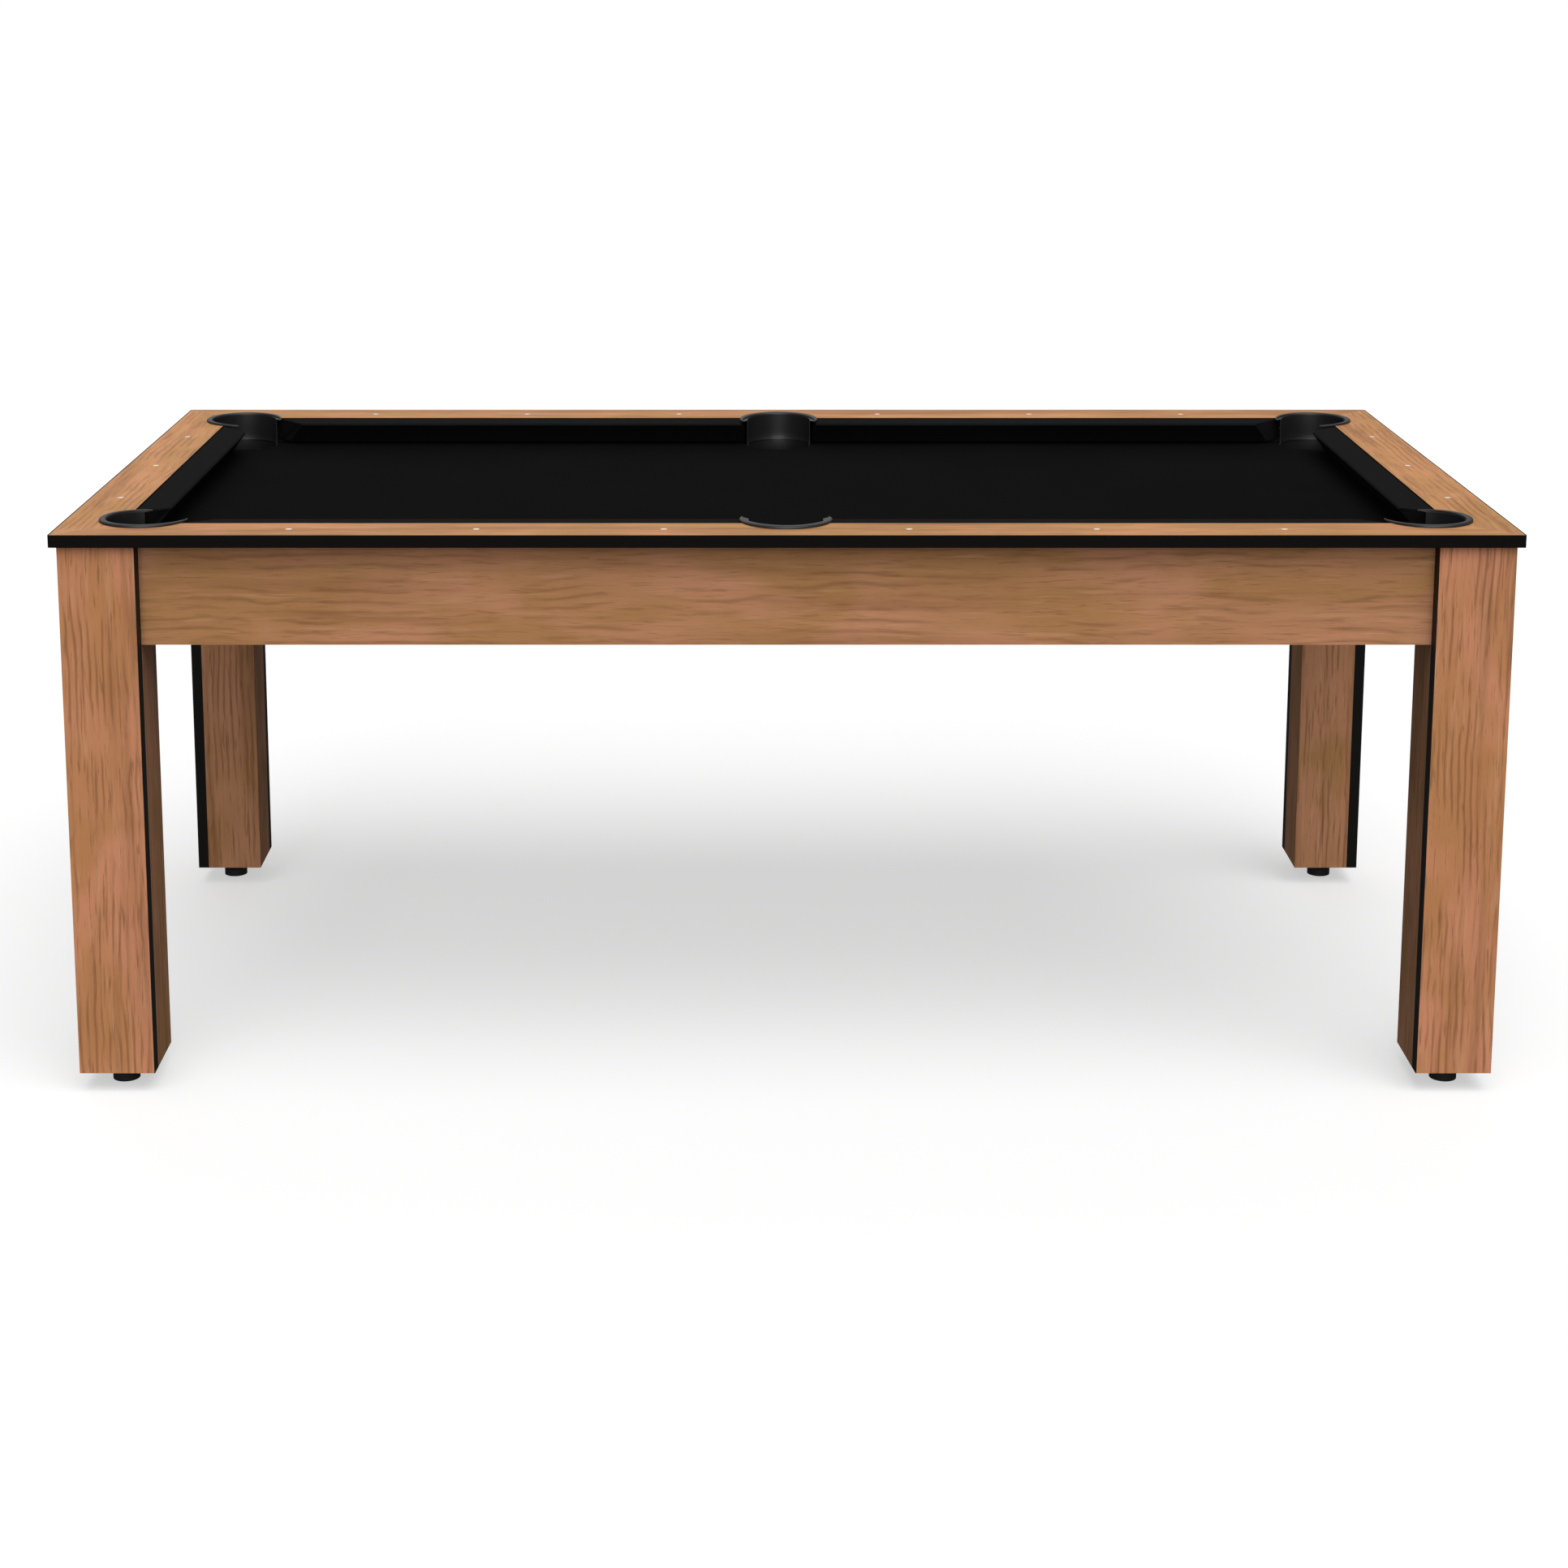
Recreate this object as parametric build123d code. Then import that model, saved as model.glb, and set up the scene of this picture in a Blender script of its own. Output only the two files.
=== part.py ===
from build123d import *
import math
import os

# Pool table, dining style. Millimetres, +Z up, X along the table, Y across it, front is -Y.
# The origin is on the floor under the middle of the table.

# ---- overall sizes
TABLE_LENGTH = 2100.0
TABLE_WIDTH = 1100.0
TABLE_HEIGHT = 842.0  # floor to the rail tops

# ---- rail tops, edge bands and sights
BOARD_T = 18.0
RAIL_WIDTH = 87.0
BAND_T = 2.0
BAND_CORNER_R = 3.0
SIGHT_D = 9.5
SIGHT_DEPTH = 3.0
SIGHT_INSET = 46.0  # from the outer edge to a sight's centre
SIGHT_FIRST = 176.0  # from the middle of a long rail to its first sight
SIGHT_PITCH = 269.0
SIGHTS_PER_HALF = 3
SIGHTS_PER_END = 3

# ---- cushions
BED_DROP = 42.0  # rail tops down to the playing surface
CUSHION_REACH = 48.0  # rail edge to the nose
NOSE_HEIGHT = 36.3  # nose over the playing surface
NOSE_R = 2.6
CUSHION_TOP_GAP = 0.5
CUSHION_TOP_FALL = 2.2
CUSHION_LIFT = 3.0  # underside over the playing surface
CUSHION_BASE = 22.0
CORNER_FACING_DEG = 45.0
MIDDLE_FACING_DEG = 12.0
FACING_CLEAR = 1.5  # between a cushion's end and a pocket wall

# ---- bed
CLOTH_T = 1.0
SLAB_T = 25.0
SLAB_EDGE_GAP = 4.0  # slab edge to the aprons

# ---- rail liners
LINER_GAP = 3.0  # liners' outer faces to the aprons
LINER_END_GAP = 2.0

# ---- cabinet and its beams
TOP_OVERHANG = 10.0
APRON_HEIGHT = 150.0
APRON_T = 18.0
BEAM_W = 30.0
BEAM_H = 74.0
BEAM_PLACES = (-600.0, -345.0, 345.0, 600.0)

# ---- legs
LEG_X = 111.0
LEG_Y = 123.0
LEG_FACE_T = 24.0
LEG_END_T = 18.0
LEG_INNER_T = 18.0
PLATE_T = 12.0
PLATE_X = 104.0
PLATE_Y = 108.0
FOOT_BLOCK_H = 30.0

# ---- levelling feet
FOOT_HEIGHT = 30.0  # floor to the underside of a leg
PAD_D = 40.0
PAD_H = 14.0
PAD_CHAMFER = 2.0
SOCKET_FLOOR = 6.0
SOCKET_CLEAR = 0.05
STEM_FOOT_D = 12.0
STEM_D = 10.0
STEM_REACH = 42.0  # stem above the underside of a leg
HEX_ACROSS = 17.0
HEX_GAP = 0.3  # between the hexagon and the tee nut when the foot is right in
NUT_FLANGE_D = 24.0
NUT_FLANGE_T = 1.5
NUT_WALL = 1.0
NUT_BARREL_H = 14.0
THREAD_CLEAR = 0.06
FIT_CLEAR = 0.2

# ---- pockets
CORNER_APRON_GAP = 6.0  # corner pocket's wall to the long apron
MIDDLE_APRON_GAP = 1.0  # middle pocket's wall to the long apron
CORNER_LIP_REACH = 8.0  # lip beyond the wall
MIDDLE_LIP_REACH = 11.0
CORNER_MOUTH_DEG = 90.0
MIDDLE_MOUTH_DEG = 146.0
POCKET_WALL_R = 57.0
POCKET_WALL_T = 2.5
LIP_T = 4.5
LIP_ROUND = 1.5
NOTCH_CLEAR = 0.5
SLAB_NOTCH_CLEAR = 1.5
CUP_PLATE_GAP = 4.0  # cups over the leg top plates
CUP_FLOOR_T = 3.0
CUP_ROUND = 14.0
EAR_REACH = 17.0
EAR_W = 16.0
EAR_T = 3.5

# ---- fasteners
RAIL_BOLT_D = 8.0
RAIL_BOLT_HEAD_D = 16.0
RAIL_BOLT_HEAD_H = 5.0
RAIL_BOLT_BITE = 12.0  # into the rail top board
RAIL_BOLTS_LONG = (220.0, 470.0, 720.0)
RAIL_BOLTS_SHORT = (-220.0, 0.0, 220.0)
LEG_BOLT_D = 6.0
LEG_BOLT_HEAD_D = 12.0
LEG_BOLT_HEAD_H = 4.0
LEG_BOLT_BITE = 12.0  # into the leg panel
LEG_BOLT_DROPS = (26.0, 112.0)  # below the apron's top edge
LEG_BOLT_IN_X = 65.0  # leg's outer corner to a bolt of its face panel
LEG_BOLT_IN_Y = 65.0  # leg's outer corner to a bolt of its end panel
BOLT_CLEAR = 0.3

# ---- worked out from the sizes above
HALF_L = TABLE_LENGTH / 2
HALF_W = TABLE_WIDTH / 2
BOARD_LOW = TABLE_HEIGHT - BOARD_T
RAIL_IN_X = HALF_L - RAIL_WIDTH
RAIL_IN_Y = HALF_W - RAIL_WIDTH
CLOTH_TOP = TABLE_HEIGHT - BED_DROP
SLAB_TOP = CLOTH_TOP - CLOTH_T
SLAB_LOW = SLAB_TOP - SLAB_T
APRON_LOW = BOARD_LOW - APRON_HEIGHT
LEG_OUT_X = HALF_L - TOP_OVERHANG
LEG_OUT_Y = HALF_W - TOP_OVERHANG
LEG_IN_X = LEG_OUT_X - LEG_X
LEG_IN_Y = LEG_OUT_Y - LEG_Y
CABINET_X = LEG_OUT_X - LEG_END_T
CABINET_Y = LEG_OUT_Y - LEG_FACE_T
CABINET_IN_X = CABINET_X - APRON_T
CABINET_IN_Y = CABINET_Y - APRON_T
SLAB_X = CABINET_IN_X - SLAB_EDGE_GAP
SLAB_Y = CABINET_IN_Y - SLAB_EDGE_GAP
CORNER_Y = CABINET_IN_Y - POCKET_WALL_R - CORNER_APRON_GAP
CORNER_INSET = HALF_W - CORNER_Y
CORNER_X = HALF_L - CORNER_INSET
MIDDLE_Y = CABINET_IN_Y - POCKET_WALL_R - MIDDLE_APRON_GAP
CORNER_LIP_R = POCKET_WALL_R + CORNER_LIP_REACH
MIDDLE_LIP_R = POCKET_WALL_R + MIDDLE_LIP_REACH
CUP_LOW = APRON_LOW + PLATE_T + CUP_PLATE_GAP
CUP_DEPTH = SLAB_LOW - CUP_LOW
NOTCH_R = POCKET_WALL_R + NOTCH_CLEAR
SLAB_NOTCH_R = POCKET_WALL_R + SLAB_NOTCH_CLEAR
FACING_R = POCKET_WALL_R + FACING_CLEAR
LINER_OUT_X = CABINET_IN_X - LINER_GAP
LINER_OUT_Y = CABINET_IN_Y - LINER_GAP
LINER_MID_X = (RAIL_IN_X + LINER_OUT_X) / 2
LINER_MID_Y = (RAIL_IN_Y + LINER_OUT_Y) / 2
FOOT_X = LEG_OUT_X - LEG_X / 2
FOOT_Y = LEG_OUT_Y - LEG_Y / 2
HEX_TOP = FOOT_HEIGHT - NUT_FLANGE_T - HEX_GAP
STEM_TOP = FOOT_HEIGHT + STEM_REACH
NUT_BORE_R = STEM_D / 2 + THREAD_CLEAR
NUT_BARREL_R = NUT_BORE_R + NUT_WALL
RAIL_HOLE_R = RAIL_BOLT_D / 2 + BOLT_CLEAR
LEG_HOLE_R = LEG_BOLT_D / 2 + BOLT_CLEAR

SIDES = {"left": -1, "right": 1}
FACES = {"front": -1, "rear": 1}
CORNERS = {f"{face}_{side}": (sx, sy) for face, sy in FACES.items() for side, sx in SIDES.items()}


# ---- helpers
def box_between(low, high):
    """Box with the two given corners."""
    size = [abs(end - start) for start, end in zip(low, high)]
    middle = [(end + start) / 2 for start, end in zip(low, high)]
    return Pos(*middle) * Box(*size)


def prism(points, low, high):
    """Upright prism on a plan outline, from one height to another."""
    outline = Polygon(*points, align=None)
    return Pos(0, 0, low) * extrude(outline, amount=high - low, dir=(0, 0, 1))


def post(x, y, radius, low, high):
    """Upright cylinder between two heights."""
    return Pos(x, y, (low + high) / 2) * Cylinder(radius, high - low)


def dowel(start, axis, radius, length):
    """Cylinder that starts at a point and runs along an axis."""
    plane = Plane(origin=start, z_dir=axis)
    return plane * Cylinder(radius, length, align=(Align.CENTER, Align.CENTER, Align.MIN))


def half_chord(radius, offset):
    """Half the chord of a circle at a distance from its centre."""
    return math.sqrt(radius**2 - offset**2)


def group(solids):
    """Separate solids that share one node."""
    return Compound(children=list(solids))


def pocket_places():
    """Name, centre, mouth direction in degrees, mouth angle and lip radius of each pocket."""
    places = {}
    for name, (sx, sy) in CORNERS.items():
        inward = math.degrees(math.atan2(-sy, -sx))
        places[name] = ((sx * CORNER_X, sy * CORNER_Y), inward, CORNER_MOUTH_DEG, CORNER_LIP_R)
    for face, sy in FACES.items():
        places[f"{face}_middle"] = ((0.0, sy * MIDDLE_Y), -sy * 90.0, MIDDLE_MOUTH_DEG, MIDDLE_LIP_R)
    return places


POCKETS = pocket_places()


def pocket_cylinders(radius, low, high):
    """One upright cylinder in each pocket's place."""
    return [post(x, y, radius, low, high) for (x, y), _, _, _ in POCKETS.values()]


# ---- rail tops, edge bands, sights
def sight_places():
    """Plan places of all the sights."""
    places = []
    for sy in FACES.values():
        for sx in SIDES.values():
            for i in range(SIGHTS_PER_HALF):
                places.append((sx * (SIGHT_FIRST + i * SIGHT_PITCH), sy * (HALF_W - SIGHT_INSET)))
    for sx in SIDES.values():
        for i in range(SIGHTS_PER_END):
            along = (i - (SIGHTS_PER_END - 1) / 2) * SIGHT_PITCH
            places.append((sx * (HALF_L - SIGHT_INSET), along))
    return places


def rail_bolt_places():
    """Plan places of the bolts that hold the rails to the slab."""
    places = []
    for sy in FACES.values():
        for x in RAIL_BOLTS_LONG:
            places += [(x, sy * LINER_MID_Y), (-x, sy * LINER_MID_Y)]
    for sx in SIDES.values():
        places += [(sx * LINER_MID_X, y) for y in RAIL_BOLTS_SHORT]
    return places


def sight(x, y, grow=0.0):
    """One round sight, let into the rail top."""
    return post(x, y, SIGHT_D / 2 + grow, TABLE_HEIGHT - SIGHT_DEPTH - grow, TABLE_HEIGHT)


def rail_board(outline):
    """A rail top board with its pocket notches, sight seats and blind bolt holes."""
    board = prism(outline, BOARD_LOW, TABLE_HEIGHT)
    board -= pocket_cylinders(NOTCH_R, BOARD_LOW, TABLE_HEIGHT)
    board -= [sight(x, y, THREAD_CLEAR) for x, y in sight_places()]
    bite = BOARD_LOW + RAIL_BOLT_BITE + BOLT_CLEAR
    board -= [post(x, y, RAIL_HOLE_R, BOARD_LOW, bite) for x, y in rail_bolt_places()]
    return board


def rail_tops():
    """The four mitred boards."""
    out_x = HALF_L - BAND_T
    out_y = HALF_W - BAND_T
    boards = {}
    for face, sy in FACES.items():
        outline = [
            (-out_x, sy * out_y),
            (out_x, sy * out_y),
            (RAIL_IN_X, sy * RAIL_IN_Y),
            (-RAIL_IN_X, sy * RAIL_IN_Y),
        ]
        boards[f"rail_top_{face}"] = rail_board(outline)
    for side, sx in SIDES.items():
        outline = [
            (sx * out_x, -out_y),
            (sx * out_x, out_y),
            (sx * RAIL_IN_X, RAIL_IN_Y),
            (sx * RAIL_IN_X, -RAIL_IN_Y),
        ]
        boards[f"rail_top_{side}"] = rail_board(outline)
    return boards


def rail_edging():
    """Four edge bands, mitred at the rounded outer corners."""
    outer = RectangleRounded(TABLE_LENGTH, TABLE_WIDTH, BAND_CORNER_R)
    inner = Rectangle(TABLE_LENGTH - 2 * BAND_T, TABLE_WIDTH - 2 * BAND_T)
    ring = Pos(0, 0, BOARD_LOW) * extrude(outer - inner, amount=BOARD_T)
    mitre_end = HALF_L - HALF_W  # the corner mitres meet here on the long axis
    bands = []
    for sy in FACES.values():
        sector = [
            (-HALF_L, sy * HALF_W),
            (HALF_L, sy * HALF_W),
            (mitre_end, 0),
            (-mitre_end, 0),
        ]
        bands.append(ring & prism(sector, BOARD_LOW, TABLE_HEIGHT))
    for sx in SIDES.values():
        sector = [(sx * HALF_L, -HALF_W), (sx * HALF_L, HALF_W), (sx * mitre_end, 0)]
        bands.append(ring & prism(sector, BOARD_LOW, TABLE_HEIGHT))
    return group(bands)


# ---- rail liners and cushions
def liner_block(low, high):
    """A liner block with through holes for the rail bolts."""
    block = box_between(low, high)
    block -= [post(x, y, RAIL_HOLE_R, CLOTH_TOP, BOARD_LOW) for x, y in rail_bolt_places()]
    return block


def rail_liners():
    """Blocks between the bed and the rail tops; the cushions are glued to them."""
    corner_end = CORNER_X - half_chord(NOTCH_R, RAIL_IN_Y - CORNER_Y) - LINER_END_GAP
    middle_end = half_chord(NOTCH_R, RAIL_IN_Y - MIDDLE_Y) + LINER_END_GAP
    side_end = CORNER_Y - half_chord(NOTCH_R, RAIL_IN_X - CORNER_X) - LINER_END_GAP
    liners = {}
    for face, sy in FACES.items():
        near = sy * RAIL_IN_Y
        far = sy * LINER_OUT_Y
        halves = [
            liner_block((sx * middle_end, near, CLOTH_TOP), (sx * corner_end, far, BOARD_LOW))
            for sx in SIDES.values()
        ]
        liners[f"rail_liner_{face}"] = group(halves)
    for side, sx in SIDES.items():
        near = sx * RAIL_IN_X
        far = sx * LINER_OUT_X
        liners[f"rail_liner_{side}"] = liner_block(
            (near, -side_end, CLOTH_TOP), (far, side_end, BOARD_LOW)
        )
    return liners


def cushion_profile():
    """Section of a cushion: reach from the rail edge, height above the floor."""
    top = TABLE_HEIGHT - CUSHION_TOP_GAP
    low = CLOTH_TOP + CUSHION_LIFT
    nose = CLOTH_TOP + NOSE_HEIGHT
    back = CUSHION_REACH - NOSE_R
    return [
        (0, low),
        (0, top),
        (back, top - CUSHION_TOP_FALL),
        (CUSHION_REACH, nose),
        (back, nose - NOSE_R),
        (CUSHION_BASE, low),
    ]


def facing_line(across, lean_deg):
    """Distance of a cushion's end from its pocket's centre, along the rail.

    across is the height of the point over the pocket's centre, counted towards the outside.
    """
    lean = math.radians(lean_deg)
    return (FACING_R - across * math.sin(lean)) / math.cos(lean)


def cushion_solid(along_x, sign, start, end):
    """A cushion along X or Y on the side given by sign.

    start and end each hold the pocket's place along the rail, its offset across the rail, the
    facing's lean and which way the cushion runs away from it.
    """
    rail_in = RAIL_IN_Y if along_x else RAIL_IN_X
    nose_at = rail_in - CUSHION_REACH
    profile = cushion_profile()
    corners = []
    for place, centre, lean, way in (start, end):
        for at in (nose_at, rail_in):
            corners.append((place + way * facing_line(at - centre, lean), at))
    (nose_a, _), (back_a, _), (nose_b, _), (back_b, _) = corners
    plan = [(back_a, rail_in), (nose_a, nose_at), (nose_b, nose_at), (back_b, rail_in)]
    if along_x:
        plan = [(u, sign * v) for u, v in plan]
        plane = Plane(origin=(0, sign * rail_in, 0), x_dir=(0, -sign, 0), z_dir=(-sign, 0, 0))
    else:
        plan = [(sign * v, u) for u, v in plan]
        plane = Plane(origin=(sign * rail_in, 0, 0), x_dir=(-sign, 0, 0), z_dir=(0, sign, 0))
    section = plane * Polygon(*profile, align=None)
    bar = extrude(section, amount=HALF_L, both=True)
    return bar & prism(plan, CLOTH_TOP, TABLE_HEIGHT)


def cushions():
    """Six cushions, their ends cut to the pockets."""
    parts = {}
    for face, sy in FACES.items():
        for side, sx in SIDES.items():
            middle = (0.0, MIDDLE_Y, MIDDLE_FACING_DEG, sx)
            corner = (sx * CORNER_X, CORNER_Y, CORNER_FACING_DEG, -sx)
            parts[f"cushion_{face}_{side}"] = cushion_solid(True, sy, middle, corner)
    for side, sx in SIDES.items():
        near = (-CORNER_Y, CORNER_X, CORNER_FACING_DEG, 1)
        far = (CORNER_Y, CORNER_X, CORNER_FACING_DEG, -1)
        parts[f"cushion_{side}"] = cushion_solid(False, sx, near, far)
    return parts


# ---- bed
def bed_plan(low, high, notch_r):
    """A sheet of the bed's plan, with a pocket notch open to the outside at each pocket."""
    sheet = box_between((-SLAB_X, -SLAB_Y, low), (SLAB_X, SLAB_Y, high))
    way_out = 2 * CORNER_INSET
    for (x, y), mouth, _, _ in POCKETS.values():
        slot = Box(way_out, 2 * notch_r, high - low, align=(Align.MAX, Align.CENTER, Align.MIN))
        sheet -= Pos(x, y, low) * Rot(0, 0, mouth) * slot
        sheet -= post(x, y, notch_r, low, high)
    sheet -= [post(x, y, RAIL_HOLE_R, low, high) for x, y in rail_bolt_places()]
    return sheet


# ---- pockets
def pocket_rim(place):
    """C-shaped lip with its wall, and the full ring that lines the slab's notch."""
    (x, y), mouth, mouth_deg, lip_r = place
    inner = POCKET_WALL_R - POCKET_WALL_T
    join = SLAB_TOP
    lip_top = TABLE_HEIGHT + LIP_T
    section = Polygon(
        (inner, join),
        (POCKET_WALL_R, join),
        (POCKET_WALL_R, TABLE_HEIGHT),
        (lip_r, TABLE_HEIGHT),
        (lip_r, lip_top - LIP_ROUND),
        (lip_r - LIP_ROUND, lip_top),
        (inner + LIP_ROUND, lip_top),
        (inner, lip_top - LIP_ROUND),
        align=None,
    )
    arc = 360 - mouth_deg
    shell = revolve(Plane.XZ * section, axis=Axis.Z, revolution_arc=arc)
    shell = Rot(0, 0, mouth + mouth_deg / 2) * shell
    ring = Cylinder(POCKET_WALL_R, join - SLAB_LOW) - Cylinder(inner, join - SLAB_LOW)
    shell += Pos(0, 0, (join + SLAB_LOW) / 2) * ring
    return Pos(x, y, 0) * shell


def pocket_cup(place):
    """Open cup below the slab with three ears that screw to it."""
    (x, y), mouth, _, _ = place
    inner = POCKET_WALL_R - POCKET_WALL_T
    body = Pos(0, 0, CUP_LOW) * Cylinder(
        POCKET_WALL_R, CUP_DEPTH, align=(Align.CENTER, Align.CENTER, Align.MIN)
    )
    body = fillet(body.edges().group_by(Axis.Z)[0], CUP_ROUND)
    for turn in (-90, 0, 90):
        ear = Box(POCKET_WALL_R + EAR_REACH, EAR_W, EAR_T, align=(Align.MIN, Align.CENTER, Align.MAX))
        body += Pos(0, 0, SLAB_LOW) * Rot(0, 0, mouth + turn) * ear
    hollow = Pos(0, 0, CUP_LOW + CUP_FLOOR_T) * Cylinder(
        inner, CUP_DEPTH, align=(Align.CENTER, Align.CENTER, Align.MIN)
    )
    hollow = fillet(hollow.edges().group_by(Axis.Z)[0], CUP_ROUND - POCKET_WALL_T)
    return Pos(x, y, 0) * (body - hollow)


# ---- cabinet
def leg_bolt_places():
    """Start of each leg bolt inside the cabinet, and its direction."""
    places = []
    for sx, sy in CORNERS.values():
        for drop in LEG_BOLT_DROPS:
            z = BOARD_LOW - drop
            places.append(((sx * (LEG_OUT_X - LEG_BOLT_IN_X), sy * CABINET_IN_Y, z), (0, sy, 0)))
            places.append(((sx * CABINET_IN_X, sy * (LEG_OUT_Y - LEG_BOLT_IN_Y), z), (sx, 0, 0)))
    return places


def leg_bolt_holes():
    """Clearance holes for the leg bolts, through the aprons and into the panels."""
    length = APRON_T + LEG_BOLT_BITE + BOLT_CLEAR
    return [dowel(start, axis, LEG_HOLE_R, length) for start, axis in leg_bolt_places()]


def aprons():
    """Long aprons run the full length; the short ones stand between them."""
    parts = {}
    for face, sy in FACES.items():
        low = (-CABINET_X, sy * CABINET_IN_Y, APRON_LOW)
        parts[f"apron_{face}"] = box_between(low, (CABINET_X, sy * CABINET_Y, BOARD_LOW))
    for side, sx in SIDES.items():
        low = (sx * CABINET_IN_X, -CABINET_IN_Y, APRON_LOW)
        parts[f"apron_{side}"] = box_between(low, (sx * CABINET_X, CABINET_IN_Y, BOARD_LOW))
    return {name: part - leg_bolt_holes() for name, part in parts.items()}


def cross_beams():
    """Beams under the slab, between the long aprons."""
    return group(
        box_between(
            (x - BEAM_W / 2, -CABINET_IN_Y, SLAB_LOW - BEAM_H),
            (x + BEAM_W / 2, CABINET_IN_Y, SLAB_LOW),
        )
        for x in BEAM_PLACES
    )


# ---- legs
def leg_panels(sx, sy):
    """Face panel, end panel and the pair of inner panels of one leg."""
    inner_x = LEG_IN_X + LEG_INNER_T
    inner_y = LEG_IN_Y + LEG_INNER_T
    face = [
        (LEG_IN_X, LEG_OUT_Y),
        (LEG_OUT_X, LEG_OUT_Y),
        (CABINET_X, CABINET_Y),
        (LEG_IN_X, CABINET_Y),
    ]
    end = [
        (LEG_OUT_X, LEG_OUT_Y),
        (LEG_OUT_X, LEG_IN_Y),
        (CABINET_X, LEG_IN_Y),
        (CABINET_X, CABINET_Y),
    ]
    side = [
        (LEG_IN_X, CABINET_Y),
        (LEG_IN_X, LEG_IN_Y),
        (inner_x, inner_y),
        (inner_x, CABINET_Y),
    ]
    back = [
        (LEG_IN_X, LEG_IN_Y),
        (CABINET_X, LEG_IN_Y),
        (CABINET_X, inner_y),
        (inner_x, inner_y),
    ]

    def upright(outline, high):
        return prism([(sx * x, sy * y) for x, y in outline], FOOT_HEIGHT, high)

    return {
        "face_panel": upright(face, BOARD_LOW) - leg_bolt_holes(),
        "end_panel": upright(end, BOARD_LOW) - leg_bolt_holes(),
        "inner_panels": group([upright(side, APRON_LOW), upright(back, APRON_LOW)]),
    }


def leg_top_plates():
    """Plates inside the cabinet's corners, on top of the legs' inner panels."""
    plates = []
    for sx, sy in CORNERS.values():
        far = (sx * CABINET_IN_X, sy * CABINET_IN_Y, APRON_LOW + PLATE_T)
        near = (sx * (CABINET_IN_X - PLATE_X), sy * (CABINET_IN_Y - PLATE_Y), APRON_LOW)
        plates.append(box_between(near, far))
    return group(plates)


def foot_blocks():
    """Blocks in the bottom of the legs that carry the tee nuts."""
    blocks = []
    for sx, sy in CORNERS.values():
        near = (sx * (LEG_IN_X + LEG_INNER_T), sy * (LEG_IN_Y + LEG_INNER_T), FOOT_HEIGHT)
        far = (sx * CABINET_X, sy * CABINET_Y, FOOT_HEIGHT + FOOT_BLOCK_H)
        bore = post(
            sx * FOOT_X,
            sy * FOOT_Y,
            NUT_BARREL_R + THREAD_CLEAR,
            FOOT_HEIGHT,
            FOOT_HEIGHT + FOOT_BLOCK_H,
        )
        blocks.append(box_between(near, far) - bore)
    return group(blocks)


# ---- levelling feet
def tee_nuts():
    """Flanged threaded nuts in the foot blocks."""
    nuts = []
    for sx, sy in CORNERS.values():
        x = sx * FOOT_X
        y = sy * FOOT_Y
        flange_low = FOOT_HEIGHT - NUT_FLANGE_T
        nut = post(x, y, NUT_FLANGE_D / 2, flange_low, FOOT_HEIGHT)
        nut += post(x, y, NUT_BARREL_R, FOOT_HEIGHT, FOOT_HEIGHT + NUT_BARREL_H)
        nut -= post(x, y, NUT_BORE_R, flange_low, FOOT_HEIGHT + NUT_BARREL_H)
        nuts.append(nut)
    return group(nuts)


def foot_pad(x, y):
    """Round pad with the socket that its stem turns in."""
    pad = Cylinder(PAD_D / 2, PAD_H, align=(Align.CENTER, Align.CENTER, Align.MIN))
    pad = chamfer(pad.edges().group_by(Axis.Z)[-1], PAD_CHAMFER)
    return Pos(x, y, 0) * pad - post(x, y, STEM_FOOT_D / 2 + SOCKET_CLEAR, SOCKET_FLOOR, PAD_H)


def foot_stem(x, y):
    """Threaded stem with its hexagon and the round end that sits in the pad."""
    stem = post(x, y, STEM_FOOT_D / 2, SOCKET_FLOOR + FIT_CLEAR, PAD_H + FIT_CLEAR)
    hexagon = RegularPolygon(HEX_ACROSS / 2, 6, major_radius=False)
    stem += Pos(x, y, PAD_H + FIT_CLEAR) * extrude(hexagon, amount=HEX_TOP - PAD_H - FIT_CLEAR)
    stem += post(x, y, STEM_D / 2, HEX_TOP, STEM_TOP)
    return stem


# ---- fasteners
def rail_bolts():
    """Bolts from under the slab, through cloth and liner, into the rail tops."""
    bolts = []
    for x, y in rail_bolt_places():
        bolt = post(x, y, RAIL_BOLT_HEAD_D / 2, SLAB_LOW - RAIL_BOLT_HEAD_H, SLAB_LOW)
        bolt += post(x, y, RAIL_BOLT_D / 2, SLAB_LOW, BOARD_LOW + RAIL_BOLT_BITE)
        bolts.append(bolt)
    return group(bolts)


def leg_bolts():
    """Bolts from inside the cabinet, through the aprons, into the legs."""
    bolts = []
    for start, axis in leg_bolt_places():
        inward = tuple(-part for part in axis)
        bolt = dowel(start, inward, LEG_BOLT_HEAD_D / 2, LEG_BOLT_HEAD_H)
        bolt += dowel(start, axis, LEG_BOLT_D / 2, APRON_T + LEG_BOLT_BITE)
        bolts.append(bolt)
    return group(bolts)


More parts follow.
